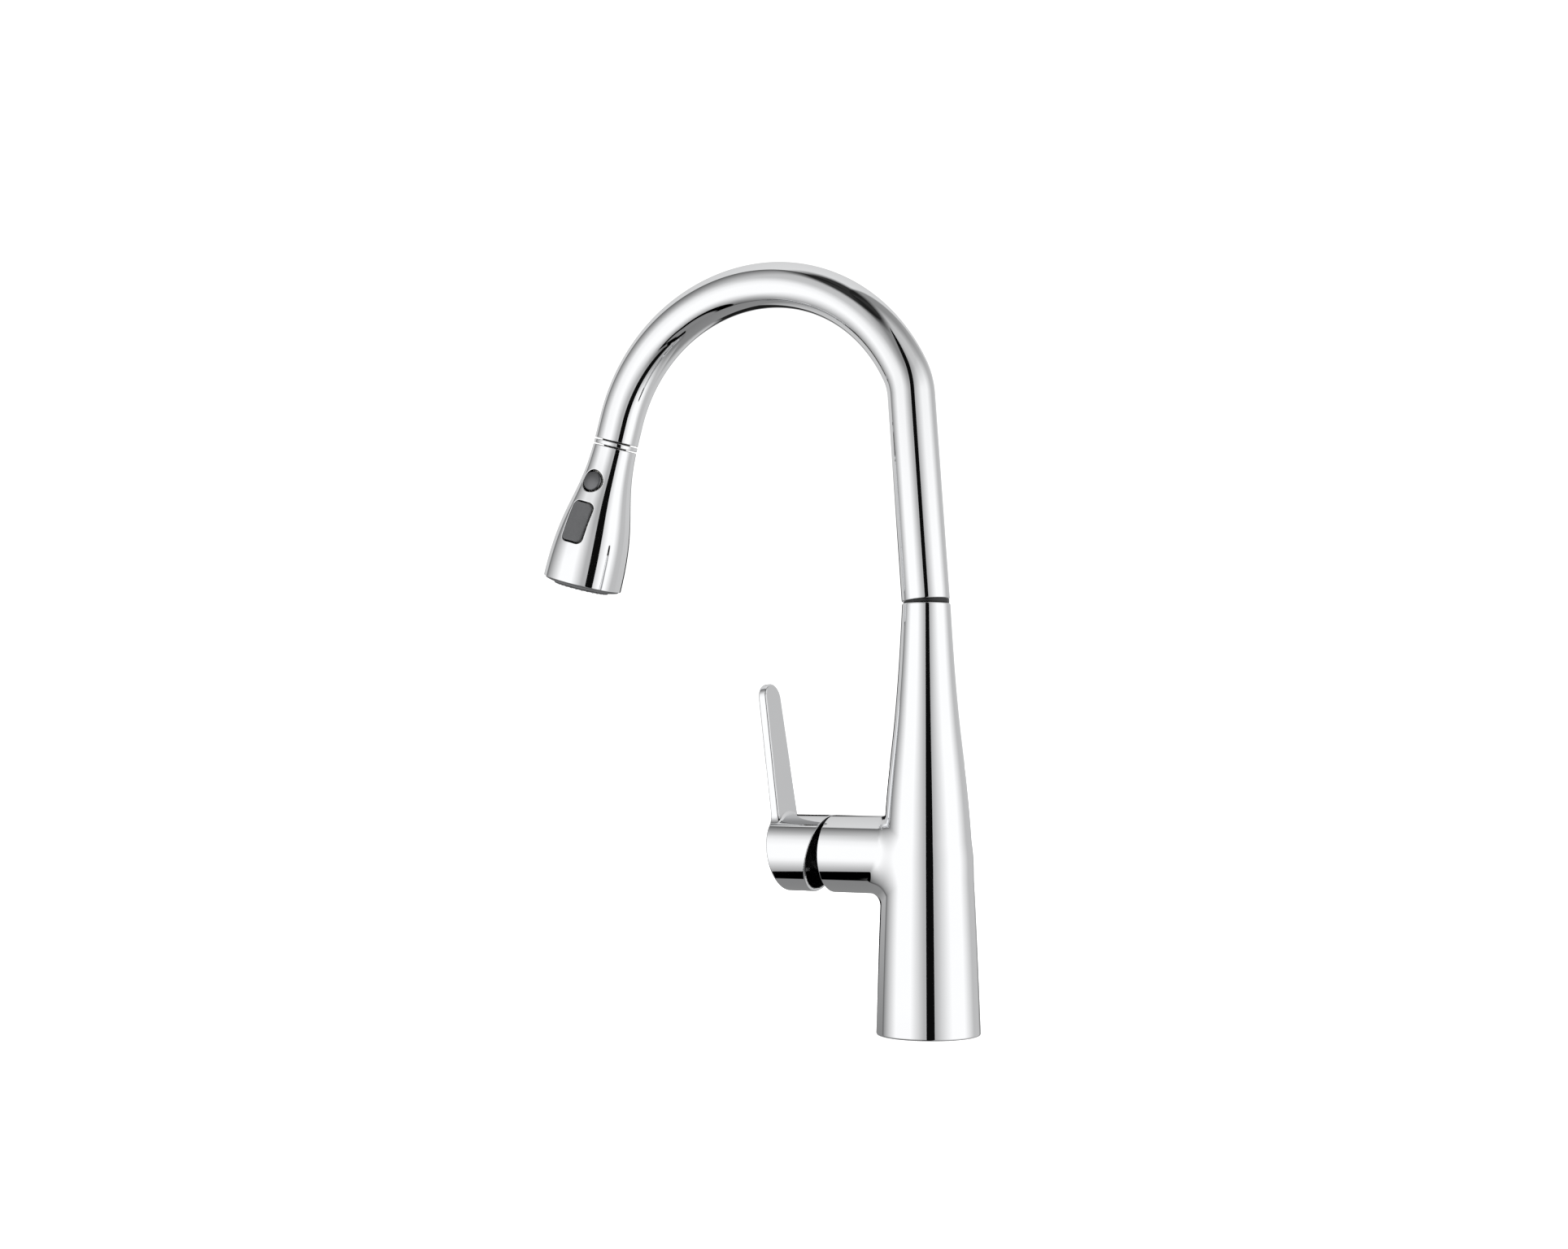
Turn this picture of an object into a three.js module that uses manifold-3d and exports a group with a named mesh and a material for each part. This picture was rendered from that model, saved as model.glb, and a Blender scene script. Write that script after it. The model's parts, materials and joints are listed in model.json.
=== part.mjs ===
// Pull-down kitchen faucet: tapered body with a side valve and lever, swivelling
// arched spout, and a spray head that pulls out on its hose.
// Millimetres, +Z up. The origin is the centre of the base, on the deck.
// At rest the spout and the lever both point along -Y, and the head's buttons face +X.

import * as THREE from 'three';
import { mergeVertices } from 'three/addons/utils/BufferGeometryUtils.js';
import Module from 'manifold-3d';

const wasm = await Module();
wasm.setup();

// ---------------------------------------------------------------- driving sizes
const GAP = 0.3;                  // clearance between pieces that fit together
const DEG = Math.PI / 180;

const TUBE_R = 12.5;              // spout tube, outside radius
const TUBE_WALL = 1.2;
const TUBE_BORE = TUBE_R - TUBE_WALL;

const BASE_R = 26.65;             // body radius at the deck
const BODY_TOP = 220.5;           // height of the body's top face
const BODY_CURVE = [[21.9, 164.6], [18.1, 112.6]];   // Bezier handles of the taper

const CAVITY_R = 21.5;            // open space inside the foot
const CAVITY_TOP = 66;
const PASSAGE_R = 9;              // hose passage up through the body
const BEARING_R = 10.9;           // bore that the spout turns in
const BEARING_FLOOR = 191;
const LOCK_RING_Z = 207.3;        // height of the spring ring that holds the spout down
const LOCK_GROOVE_R = 11.6;

const VALVE_Z = 90.5;             // height of the valve's axis
const HOUSING_R = 20.25;
const HOUSING_END = 54;           // distance of the housing's end from the body axis
const VALVE_BORE = 17.8;
const VALVE_FLOOR = 20;
const CARTRIDGE_R = 17.4;
const PIVOT_U = 44;               // where the lever tilts, along the valve's axis

const LEAN = 4.1;                 // degrees that the neck leans towards the outlet
const NECK_START_Z = 218.1;       // where the neck's centre line crosses the swivel axis
const NECK_LENGTH = 112.5;
const BENDS = [                   // radius and turn of each arc of the spout
  { radius: 37.3, turn: 21.9 },
  { radius: 99.2, turn: 92.8 },
  { radius: 91.0, turn: 45.0 },
];
const TAIL_LENGTH = 12.5;         // straight end of the tube
const TUBE_FOOT = 4.1;            // where the tube itself starts, along the centre line
const HOSE_R = 6.5;

const HEAD_LENGTH = 79.7;
const HEAD_TOP = -3.8;            // head_shell's top, below the end of the tube
const HEAD_TOP_R = 12.55;
const HEAD_MOUTH_R = 22.55;
const HEAD_CURVE = [[13.5, 33], [22.6, 37]];         // radius, distance from the top
const HEAD_WALL = 1.8;
const PAUSE_DROP = 20.7;          // the round button's centre, below the head's top
const MODE_DROP = 45;             // the rocker's centre
const BUTTON_SLOPE = 10.5 * DEG;  // how far the buttons' faces turn up
const PAUSE_R = 5.9;
const PAUSE_DOME_R = 14;          // the round button's face is part of a sphere
const PAUSE_DOME_TOP = 0.8;
const ROCKER_W = 13;
const BUTTON_GAP = 0.7;           // dark gap round both buttons
const ROCKER_L = 23;
const ROCKER_CORNER = 3;

// ---------------------------------------------------------------- materials
const CHROME = { color: 0xd9dbdd, metalness: 1, roughness: 0.06 };
const BRASS = { color: 0xc7a45a, metalness: 1, roughness: 0.35 };
const STEEL = { color: 0xb4b6b8, metalness: 1, roughness: 0.3 };
const GREY = { color: 0x5c5d5f, metalness: 0, roughness: 0.45 };
const BLACK = { color: 0x0b0b0c, metalness: 0, roughness: 0.35 };
const WHITE = { color: 0xe6e4dd, metalness: 0, roughness: 0.5 };
const RUBBER = { color: 0x1a1a1b, metalness: 0, roughness: 0.8 };
const CERAMIC = { color: 0xf1efe8, metalness: 0, roughness: 0.15 };
const HOSE = { color: 0x8f9194, metalness: 0.2, roughness: 0.55 };

// ---------------------------------------------------------------- solids
function toSolid(geometry) {
  const bare = geometry.index ? geometry.clone() : geometry;
  bare.deleteAttribute('normal');
  bare.deleteAttribute('uv');
  const merged = mergeVertices(bare, 1e-4);
  const corners = merged.index.array;
  const triangles = [];
  for (let i = 0; i < corners.length; i += 3) {
    const [a, b, c] = [corners[i], corners[i + 1], corners[i + 2]];
    if (a !== b && b !== c && c !== a) {
      triangles.push(a, b, c);
    }
  }
  return new wasm.Manifold(new wasm.Mesh({
    numProp: 3,
    vertProperties: new Float32Array(merged.attributes.position.array),
    triVerts: new Uint32Array(triangles),
  }));
}

function toGeometry(solid) {
  const mesh = solid.getMesh();
  const geometry = new THREE.BufferGeometry();
  geometry.setAttribute('position', new THREE.BufferAttribute(mesh.vertProperties, 3));
  geometry.setIndex(new THREE.BufferAttribute(mesh.triVerts, 1));
  geometry.computeVertexNormals();
  return geometry;
}

// A turned solid about Z. The profile is [radius, z] points, anticlockwise.
function turned(profile, sides = 20) {
  const points = profile.map(([r, z]) => new THREE.Vector2(r, z));
  points.push(points[0].clone());
  return toSolid(new THREE.LatheGeometry(points, sides).rotateX(Math.PI / 2));
}

// A solid rod about Z from z0 to z1.
function rod(radius, z0, z1, sides = 20) {
  const geometry = new THREE.CylinderGeometry(radius, radius, z1 - z0, sides);
  return toSolid(geometry.rotateX(Math.PI / 2).translate(0, 0, (z0 + z1) / 2));
}

// A ring about Z.
function ring(inner, outer, z0, z1, sides = 20) {
  return turned([[inner, z0], [outer, z0], [outer, z1], [inner, z1]], sides);
}

function block(x0, x1, y0, y1, z0, z1) {
  const geometry = new THREE.BoxGeometry(x1 - x0, y1 - y0, z1 - z0);
  return toSolid(geometry.translate((x0 + x1) / 2, (y0 + y1) / 2, (z0 + z1) / 2));
}

function oRing(major, minor, z) {
  return toSolid(new THREE.TorusGeometry(major, minor, 5, 16).translate(0, 0, z));
}

function bezierProfile(start, handles, end, steps) {
  const points = [start, ...handles, end].map(([r, z]) => new THREE.Vector2(r, z));
  return new THREE.CubicBezierCurve(...points).getPoints(steps).map((p) => [p.x, p.y]);
}

function arcProfile(centreZ, radius, fromZ, toZ, steps) {
  const points = [];
  for (let i = 0; i <= steps; i += 1) {
    const z = fromZ + (toZ - fromZ) * i / steps;
    points.push([Math.sqrt(radius ** 2 - (z - centreZ) ** 2), z]);
  }
  return points;
}

function roundedRectangle(width, height, corner) {
  const shape = new THREE.Shape();
  const [x, y] = [width / 2, height / 2];
  shape.moveTo(-x + corner, -y);
  shape.lineTo(x - corner, -y);
  shape.absarc(x - corner, -y + corner, corner, -Math.PI / 2, 0);
  shape.lineTo(x, y - corner);
  shape.absarc(x - corner, y - corner, corner, 0, Math.PI / 2);
  shape.lineTo(-x + corner, y);
  shape.absarc(-x + corner, y - corner, corner, Math.PI / 2, Math.PI);
  shape.lineTo(-x, -y + corner);
  shape.absarc(-x + corner, -y + corner, corner, Math.PI, Math.PI * 1.5);
  return shape;
}

function circle(radius) {
  return new THREE.Shape().absarc(0, 0, radius, 0, Math.PI * 2);
}

function extruded(shape, depth, curveSegments = 6) {
  return toSolid(new THREE.ExtrudeGeometry(shape, { depth, bevelEnabled: false, curveSegments }));
}

function swept(shape, path, steps, curveSegments) {
  return toSolid(new THREE.ExtrudeGeometry(shape, {
    extrudePath: path, steps, curveSegments, bevelEnabled: false,
  }));
}

// Moves a solid built along Z so that its Z becomes -Y and its Y becomes +Z.
function alongValve(solid) {
  return solid.rotate([90, 0, 0]).translate([0, 0, VALVE_Z]);
}

// ---------------------------------------------------------------- spout line
// The spout's centre line lies in the YZ plane: straight neck, three arcs, straight end.
class SpoutLine extends THREE.Curve {
  constructor(firstZ, startAt) {
    super();
    this.pieces = [];
    let [out, up, heading] = [0, NECK_START_Z, LEAN * DEG];
    const addLine = (length) => {
      this.pieces.push({ length, out, up, heading, radius: Infinity });
      out += length * Math.sin(heading);
      up += length * Math.cos(heading);
    };
    const addArc = (radius, turn) => {
      this.pieces.push({ length: radius * turn, out, up, heading, radius });
      out += radius * (Math.cos(heading) - Math.cos(heading + turn));
      up += radius * (Math.sin(heading + turn) - Math.sin(heading));
      heading += turn;
    };
    addLine(NECK_LENGTH);
    for (const bend of BENDS) {
      addArc(bend.radius, bend.turn * DEG);
    }
    addLine(TAIL_LENGTH);
    this.end = { out, up, heading };
    this.riser = Math.max(0, NECK_START_Z - firstZ);   // vertical stretch below the neck
    this.startAt = startAt;
    this.total = this.pieces.reduce((sum, piece) => sum + piece.length, 0);
  }

  // A point at a distance along the line; negative distances are on the vertical riser.
  pointAt(distance) {
    if (distance < 0) {
      return new THREE.Vector3(0, 0, NECK_START_Z + distance);
    }
    let rest = distance;
    let piece = this.pieces[0];
    for (piece of this.pieces) {
      if (rest <= piece.length) {
        break;
      }
      rest -= piece.length;
    }
    rest = Math.min(rest, piece.length);
    const { out, up, heading, radius } = piece;
    if (radius === Infinity) {
      return new THREE.Vector3(0, -(out + rest * Math.sin(heading)), up + rest * Math.cos(heading));
    }
    const turn = rest / radius;
    return new THREE.Vector3(
      0,
      -(out + radius * (Math.cos(heading) - Math.cos(heading + turn))),
      up + radius * (Math.sin(heading + turn) - Math.sin(heading)),
    );
  }

  getPoint(t) {
    const from = this.riser > 0 ? -this.riser : this.startAt;
    const to = this.total - (this.riser > 0 ? this.startAt : 0);
    return this.pointAt(from + (to - from) * t);
  }
}

const SPOUT_LINE = new SpoutLine(NECK_START_Z, TUBE_FOOT);
const TUBE_END = SPOUT_LINE.end;
const HEAD_TILT = Math.PI - TUBE_END.heading;        // angle of the head's axis from vertical

// ---------------------------------------------------------------- body
function bodyShell() {
  const outline = bezierProfile([BASE_R, 0], BODY_CURVE, [TUBE_R, BODY_TOP], 12);
  const column = turned([[0, 0], ...outline, [0, BODY_TOP]], 32);
  const housing = alongValve(rod(HOUSING_R, 0, HOUSING_END, 32));
  const cavity = rod(CAVITY_R, -1, CAVITY_TOP, 24);
  const passage = rod(PASSAGE_R, CAVITY_TOP - 1, BEARING_FLOOR + 1, 16);
  const bearing = rod(BEARING_R, BEARING_FLOOR, BODY_TOP + 1, 24);
  const lockGroove = ring(PASSAGE_R, LOCK_GROOVE_R, LOCK_RING_Z - 0.8, LOCK_RING_Z + 0.8, 24);
  const valveBore = alongValve(rod(VALVE_BORE, VALVE_FLOOR, HOUSING_END + 1, 24));
  let shell = column.add(housing).subtract(cavity).subtract(passage).subtract(bearing);
  shell = shell.subtract(lockGroove).subtract(valveBore);
  for (const port of PORTS) {
    shell = shell.subtract(waterway(port));
  }
  return shell;
}

// Each port has a threaded socket in the roof of the foot and a bore to the valve's floor.
const PORTS = [
  { name: 'inlet_fitting_hot', x: -9.5, out: 12.2, riseTo: VALVE_Z },
  { name: 'inlet_fitting_cold', x: 9.5, out: 12.2, riseTo: VALVE_Z },
  { name: 'outlet_fitting', x: 0, out: 15.6, riseTo: 80 },
];
const SOCKET_R = 4.2;
const SOCKET_TOP = 74;
const WATERWAY_R = 2.2;

function waterway({ x, out, riseTo }) {
  const socket = rod(SOCKET_R, CAVITY_TOP - 1, SOCKET_TOP, 16).translate([x, -out, 0]);
  const riser = rod(WATERWAY_R, SOCKET_TOP - 1, riseTo, 8).translate([x, -out, 0]);
  const acrossBore = rod(WATERWAY_R, out - 1.5, VALVE_FLOOR + 1, 8);
  const across = alongValve(acrossBore.translate([x, riseTo - VALVE_Z, 0]));
  return socket.add(riser).add(across);
}

// A nipple with a hexagon that seats under the roof of the foot.
function portFitting({ x, out }) {
  const spigot = rod(SOCKET_R - GAP, CAVITY_TOP - 3, SOCKET_TOP - 1, 16);
  const hexagon = rod(5.4, CAVITY_TOP - 6, CAVITY_TOP - GAP, 6);
  const stub = rod(3.7, CAVITY_TOP - 13, CAVITY_TOP - 5, 16);
  const bore = rod(2.2, CAVITY_TOP - 14, SOCKET_TOP, 12);
  return spigot.add(hexagon).add(stub).subtract(bore).translate([x, -out, 0]);
}

function shankSocket() {
  return ring(15.5, CAVITY_R - GAP, 3, 16, 24);
}

function baseGasket() {
  return ring(16.5, CAVITY_R - GAP, 0, 2.7, 24);
}

// ---------------------------------------------------------------- valve, built along the valve axis
function valvePorts(radius, z0, z1) {
  const holes = PORTS.map(({ x, riseTo }) => rod(radius, z0, z1, 8).translate([x, riseTo - VALVE_Z, 0]));
  return holes.reduce((all, hole) => all.add(hole));
}

function cartridgeSeal() {
  return rod(15, 20.3, 21.3).subtract(valvePorts(2.6, 20, 22));
}

function cartridgeBase() {
  return rod(CARTRIDGE_R, 21.6, 25.6).subtract(valvePorts(2.6, 21, 26));
}

function fixedDisc() {
  return rod(14.8, 25.9, 29.4).subtract(valvePorts(2.4, 25, 30));
}

function movingDisc() {
  const mixingPocket = rod(4.5, 29, 31, 12).translate([0, -2, 0]);
  return rod(9.5, 29.7, 32.7).subtract(mixingPocket);
}

function discCarrier() {
  return rod(9.5, 33, 37).subtract(rod(3.2, 32, 38, 12));
}

function cartridgeBody() {
  return turned([
    [15.2, 25.9], [CARTRIDGE_R, 25.9], [CARTRIDGE_R, 43.7],
    [11.8, 43.7], [11.8, 41.0], [15.2, 41.0],
  ]);
}

function spindleRotor() {
  const flange = rod(14.9, 37.3, 40.7);
  const neck = rod(11.4, 40, 47.3);
  const slot = block(-4.3, 4.3, -8.2, 8.2, 37, 48);
  return flange.add(neck).subtract(slot).subtract(pivotHole(24));
}

function pivotHole(length) {
  return rod(1.8, -length / 2, length / 2, 12).rotate([0, 90, 0]).translate([0, 0, PIVOT_U]);
}

function pivotPin() {
  return rod(1.5, -10.8, 10.8, 12).rotate([0, 90, 0]).translate([0, 0, PIVOT_U]);
}

function cartridgeNut() {
  return ring(12.6, CARTRIDGE_R, 44, 49.5, 24);
}

// The dome is part of a sphere about the lever's pivot, so the hub clears it at every angle.
function bonnet() {
  const [outerR, innerR, foot, mouth] = [20, 18, 49.8, 12.8];
  const shoulder = PIVOT_U + Math.sqrt(outerR ** 2 - CARTRIDGE_R ** 2);
  const outerTop = PIVOT_U + Math.sqrt(outerR ** 2 - mouth ** 2);
  const innerTop = PIVOT_U + Math.sqrt(innerR ** 2 - mouth ** 2);
  const throat = 15.4;
  const innerShoulder = PIVOT_U + Math.sqrt(innerR ** 2 - throat ** 2);
  return turned([
    [throat, foot], [CARTRIDGE_R, foot],
    ...arcProfile(PIVOT_U, outerR, shoulder, outerTop, 3),
    ...arcProfile(PIVOT_U, innerR, innerTop, innerShoulder, 2),
  ], 24);
}

// ---------------------------------------------------------------- lever, built along the valve axis
const STEM_HALF = 4;
const BALL_AT = 36.2;             // the ball on the stem's inner end, which drives the moving disc
const HUB_END = 84.6;             // outer end of the hub on the valve's axis
const END_LEAN = 8.27;            // degrees that the hub's end and the blade lean out
const HUB_NEAR_TOP = 55;          // the hub's inner edge, at its top and its bottom
const HUB_NEAR_BOTTOM = 65.5;
const BLADE_TOP = 180 - VALVE_Z;  // the blade's tip, above the valve's axis
const BLADE_THICKNESS = 5;
const BLADE_ROOT_W = 22.8;
const BLADE_TIP_W = 16.4;
const SET_SCREW_AT = 72;

function leverStem() {
  const bar = block(-STEM_HALF, STEM_HALF, -STEM_HALF, STEM_HALF, 39.5, 76);
  const neck = rod(1.8, BALL_AT, 40, 12);
  const ball = toSolid(new THREE.SphereGeometry(2.4, 12, 8).translate(0, 0, BALL_AT));
  return bar.add(neck).add(ball).subtract(pivotHole(10));
}

// The blade's outline: straight tapering sides and a full round tip, drawn in its own plane.
function bladeShape() {
  const shape = new THREE.Shape();
  const tipR = BLADE_TIP_W / 2;
  const top = BLADE_TOP / Math.cos(END_LEAN * DEG);
  shape.moveTo(-BLADE_ROOT_W / 2, 0);
  shape.lineTo(BLADE_ROOT_W / 2, 0);
  shape.lineTo(tipR, top - tipR);
  shape.absarc(0, top - tipR, tipR, 0, Math.PI);
  return shape;
}

// Leans a solid about the point where the hub's end crosses the valve's axis.
function leaned(solid) {
  return solid.rotate([END_LEAN, 0, 0]).translate([0, 0, HUB_END]);
}

function leverHandle() {
  const far = 40;
  const beyondEnd = leaned(block(-far, far, -far, far, 0, far));
  const edgeAngle = Math.atan2(HUB_NEAR_BOTTOM - HUB_NEAR_TOP, 2 * HOUSING_R) / DEG;
  const edgeMiddle = (HUB_NEAR_BOTTOM + HUB_NEAR_TOP) / 2;
  const beforeEdge = block(-far, far, -far, far, -far, 0)
    .rotate([-edgeAngle, 0, 0])
    .translate([0, 0, edgeMiddle]);
  const cup = rod(HOUSING_R, 50, 95, 32).subtract(rod(HOUSING_R - 2, 40, 80, 24));
  const boss = rod(8.5, 64, 82, 16).subtract(block(-4.3, 4.3, -4.3, 4.3, 60, 76.3));
  const blade = leaned(extruded(bladeShape(), BLADE_THICKNESS, 8).translate([0, 0, -BLADE_THICKNESS]));
  const bladeAboveHub = blade.subtract(rod(HOUSING_R - 1, 60, 95, 32));
  const screwHole = rod(2.8, 3, 22, 12).rotate([90, 0, 0]).translate([0, 0, SET_SCREW_AT]);
  const hub = cup.subtract(beforeEdge).add(boss).subtract(beyondEnd);
  return hub.add(bladeAboveHub).subtract(screwHole);
}

function setScrew() {
  const recess = rod(1.2, 8, 11, 6);
  return rod(2.5, 4.4, 9.8, 12).subtract(recess).rotate([90, 0, 0]).translate([0, 0, SET_SCREW_AT]);
}

function setScrewPlug() {
  return rod(2.5, 18.4, 20, 12).rotate([90, 0, 0]).translate([0, 0, SET_SCREW_AT]);
}

// ---------------------------------------------------------------- swivel and spout
function spoutTube() {
  const section = circle(TUBE_R);
  section.holes.push(new THREE.Path().absarc(0, 0, TUBE_BORE, 0, Math.PI * 2));
  return swept(section, SPOUT_LINE, 38, 9);
}

const ADAPTER_R = 9.4;
const ADAPTER_BORE = 7.6;
const O_RING_HEIGHTS = [203.5, 198.5];
const O_RING_R = 9.75;

// Leans a solid built along Z so that it follows the neck from the swivel axis.
function alongNeck(solid) {
  return solid.rotate([LEAN, 0, 0]).translate([0, 0, NECK_START_Z]);
}

function swivelAdapter() {
  const plug = alongNeck(rod(TUBE_BORE - GAP, TUBE_FOOT - GAP, TUBE_FOOT + 14, 18));
  const spigot = rod(ADAPTER_R, 193, 223, 18);
  const tubeFace = alongNeck(block(-20, 20, -20, 20, TUBE_FOOT - GAP, 40));
  const shoulder = rod(TUBE_R - 0.6, BODY_TOP + GAP, 230, 24).subtract(tubeFace);
  let adapter = plug.add(spigot).add(shoulder);
  adapter = adapter.subtract(rod(ADAPTER_BORE, 190, 224, 16));
  adapter = adapter.subtract(alongNeck(rod(ADAPTER_BORE, 0, 30, 16)));
  for (const z of O_RING_HEIGHTS) {
    adapter = adapter.subtract(ring(8.6, 12, z - 1.2, z + 1.2, 18));
  }
  return adapter.subtract(ring(8.8, 12, LOCK_RING_Z - 0.9, LOCK_RING_Z + 0.9, 18));
}

function swivelBush() {
  return ring(ADAPTER_R + GAP, BEARING_R - GAP, 209.5, 220.2, 24);
}

function swivelLockRing() {
  const split = block(-2, 2, 0, 14, LOCK_RING_Z - 5, LOCK_RING_Z + 5);
  return ring(9.1, LOCK_GROOVE_R - GAP, LOCK_RING_Z - 0.5, LOCK_RING_Z + 0.5, 20).subtract(split);
}

const HOSE_TAIL_TOP = 12.5;       // where the pull-out end of the hose begins, above the tube's end

function hoseRun() {
  const line = new SpoutLine(4, HOSE_TAIL_TOP + GAP);
  return swept(circle(HOSE_R), line, 34, 4);
}

function dockBush() {
  return ring(8.4, TUBE_BORE - 2 * GAP, GAP, 13, 20);
}

function dockMagnet() {
  return ring(8.4, TUBE_BORE - 3 * GAP, 13.3, 17.5, 20);
}

// ---------------------------------------------------------------- hose end, built along the head's axis
function dockCollar() {
  return turned([
    [6.9, -3.1], [TUBE_R, -3.1], [TUBE_R, -0.7],
    [8.1, -0.7], [8.1, 9], [6.9, 9],
  ], 24);
}

function hoseTail() {
  return rod(HOSE_R, -4, HOSE_TAIL_TOP, 10);
}

function hoseCoupling() {
  return ring(5.6, 8.4, -13, -4.3, 24);
}

function headSwivelBush() {
  return ring(8.7, 10.4, -12, -4.4, 24);
}

// ---------------------------------------------------------------- spray head, built along its axis
function headOutline(inset, steps) {
  const curve = bezierProfile([HEAD_TOP_R, 0], HEAD_CURVE, [HEAD_MOUTH_R, HEAD_LENGTH], steps);
  return curve.map(([r, drop]) => [r - inset, HEAD_TOP - drop]);
}

// Places a solid whose outward direction is +X on the head's side, at a given drop and radius.
function onHeadSide(solid, drop, radius) {
  return solid.rotate([0, -BUTTON_SLOPE / DEG, 0]).translate([radius, 0, HEAD_TOP - drop]);
}

// The head's outside radius at a distance below its top.
function headRadius(drop) {
  const points = headOutline(0, 80);
  const hit = points.find(([, z]) => HEAD_TOP - z >= drop);
  return hit[0];
}

const PAUSE_RADIUS = headRadius(PAUSE_DROP);
const MODE_RADIUS = headRadius(MODE_DROP);

function rockerPlate(grow, depth) {
  const outline = roundedRectangle(ROCKER_L + 2 * grow, ROCKER_W + 2 * grow, ROCKER_CORNER + grow);
  return extruded(outline, depth, 4).rotate([0, 90, 0]).translate([-depth, 0, 0]);
}

function pushRod(radius, x0, x1, sides = 24) {
  return rod(radius, x0, x1, sides).rotate([0, 90, 0]);
}

function headShell() {
  const outer = headOutline(0, 10);
  const inner = headOutline(HEAD_WALL, 8).reverse();
  const mouthZ = HEAD_TOP - HEAD_LENGTH;
  const lip = [[HEAD_MOUTH_R - 0.9, mouthZ], [HEAD_MOUTH_R - 0.9, mouthZ + 7]];
  const profile = [...outer, ...lip, ...inner.slice(1)].reverse();
  const pauseHole = onHeadSide(pushRod(PAUSE_R + BUTTON_GAP, -8, 8), PAUSE_DROP, PAUSE_RADIUS);
  const modeHole = onHeadSide(rockerPlate(BUTTON_GAP, 16).translate([8, 0, 0]), MODE_DROP, MODE_RADIUS);
  return turned(profile, 32).subtract(pauseHole).subtract(modeHole);
}

const CORE_BORE = 3.6;

function headCore() {
  const barrel = rod(9, -72, -15, 24);
  const spigot = rod(5.2, -16, -7, 16);
  const bore = rod(CORE_BORE, -73, -6, 16);
  const pauseHole = onHeadSide(pushRod(2.2, -14, 4, 12), PAUSE_DROP, PAUSE_RADIUS);
  const fingerSlot = onHeadSide(block(-18, 4, -1.6, 1.6, -2.6, 2.6), MODE_DROP, MODE_RADIUS);
  let core = barrel.add(spigot).subtract(bore).subtract(pauseHole).subtract(fingerSlot);
  for (const side of [-1, 1]) {
    const lug = block(-13, -3.1, side * 4.8 - 0.8, side * 4.8 + 0.8, -2.2, 2.2);
    core = core.add(onHeadSide(lug, MODE_DROP, MODE_RADIUS));
  }
  return core.subtract(bore).subtract(onHeadSide(rockerPinRod(1.15, 14), MODE_DROP, MODE_RADIUS));
}

const FINGER_DROP = -3.2;          // how far below the rocker's centre its finger meets the spool
const ROCKER_PIVOT = -4.6;        // the rocker's pin, behind its face

function rockerPinRod(radius, length) {
  return rod(radius, -length / 2, length / 2, 10).rotate([90, 0, 0]).translate([ROCKER_PIVOT, 0, 0]);
}

function rockerPin() {
  return onHeadSide(rockerPinRod(0.85, 11), MODE_DROP, MODE_RADIUS);
}

function modeRocker() {
  const plate = rockerPlate(0, 2.6).translate([0.3, 0, 0]);
  const lug = block(-6.4, -2, -3.5, 3.5, -2, 2);
  const finger = block(-17.6, -6, -1.2, 1.2, -1.2, 1.2);
  const rocker = plate.add(lug).add(finger).subtract(rockerPinRod(1.15, 9));
  return onHeadSide(rocker, MODE_DROP, MODE_RADIUS);
}

function diverterSpool() {
  const z = HEAD_TOP - MODE_DROP + FINGER_DROP;
  return turned([
    [0, z - 8], [3.3, z - 8], [3.3, z - 2.6], [1.2, z - 2.6],
    [1.2, z + 2.6], [3.3, z + 2.6], [3.3, z + 8], [0, z + 8],
  ], 12);
}

function pauseButton() {
  const sphere = new THREE.SphereGeometry(PAUSE_DOME_R, 40, 30).rotateZ(Math.PI / 2);
  const dome = toSolid(sphere.translate(PAUSE_DOME_TOP - PAUSE_DOME_R, 0, 0));
  const springPocket = pushRod(3, -3, -0.7, 16);
  const cap = pushRod(PAUSE_R, -1.8, 2).intersect(dome).subtract(springPocket);
  const stem = pushRod(1.6, -11, -0.5, 12);
  return onHeadSide(cap.add(stem), PAUSE_DROP, PAUSE_RADIUS);
}

// Coil spring round the button's stem.
class Helix extends THREE.Curve {
  constructor(radius, from, to, turns) {
    super();
    Object.assign(this, { radius, from, to, turns });
  }

  getPoint(t) {
    const angle = t * this.turns * Math.PI * 2;
    const x = this.from + (this.to - this.from) * t;
    return new THREE.Vector3(x, this.radius * Math.cos(angle), this.radius * Math.sin(angle));
  }
}

function pauseSpring() {
  const wire = swept(circle(0.25), new Helix(2.4, -4.6, -2.6, 3), 30, 2);
  return onHeadSide(wire, PAUSE_DROP, PAUSE_RADIUS);
}

function inletWasher() {
  return ring(5.6, 8.2, -14.7, -13.3, 20);
}

function checkValve() {
  return turned([[0, -23], [2, -23], [3.3, -21], [3.3, -17], [0, -17]], 12);
}

// ---------------------------------------------------------------- outlet face
const FACE_Z = HEAD_TOP - HEAD_LENGTH;   // the lip of the head shell
const FACE_OUTER_R = 21.3;
const FACE_INNER_R = 8.6;
const FACE_BULGE = 2;             // how far the face stands out below the lip
const FACE_RIM_BULGE = 0.9;
const PAD_R = 15.8;
const PAD_BULGE = 3.1;
const AERATOR_R = FACE_INNER_R - GAP;
const AERATOR_BORE = 6.6;

function sprayFace() {
  return turned([
    [FACE_INNER_R, FACE_Z - FACE_BULGE], [PAD_R + GAP, FACE_Z - FACE_BULGE],
    [FACE_OUTER_R, FACE_Z - FACE_RIM_BULGE],
    [FACE_OUTER_R, FACE_Z + 5.5], [FACE_INNER_R, FACE_Z + 5.5],
  ], 24);
}

function nozzlePad() {
  return ring(FACE_INNER_R, PAD_R, FACE_Z - PAD_BULGE, FACE_Z - FACE_BULGE - GAP, 24);
}

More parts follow.
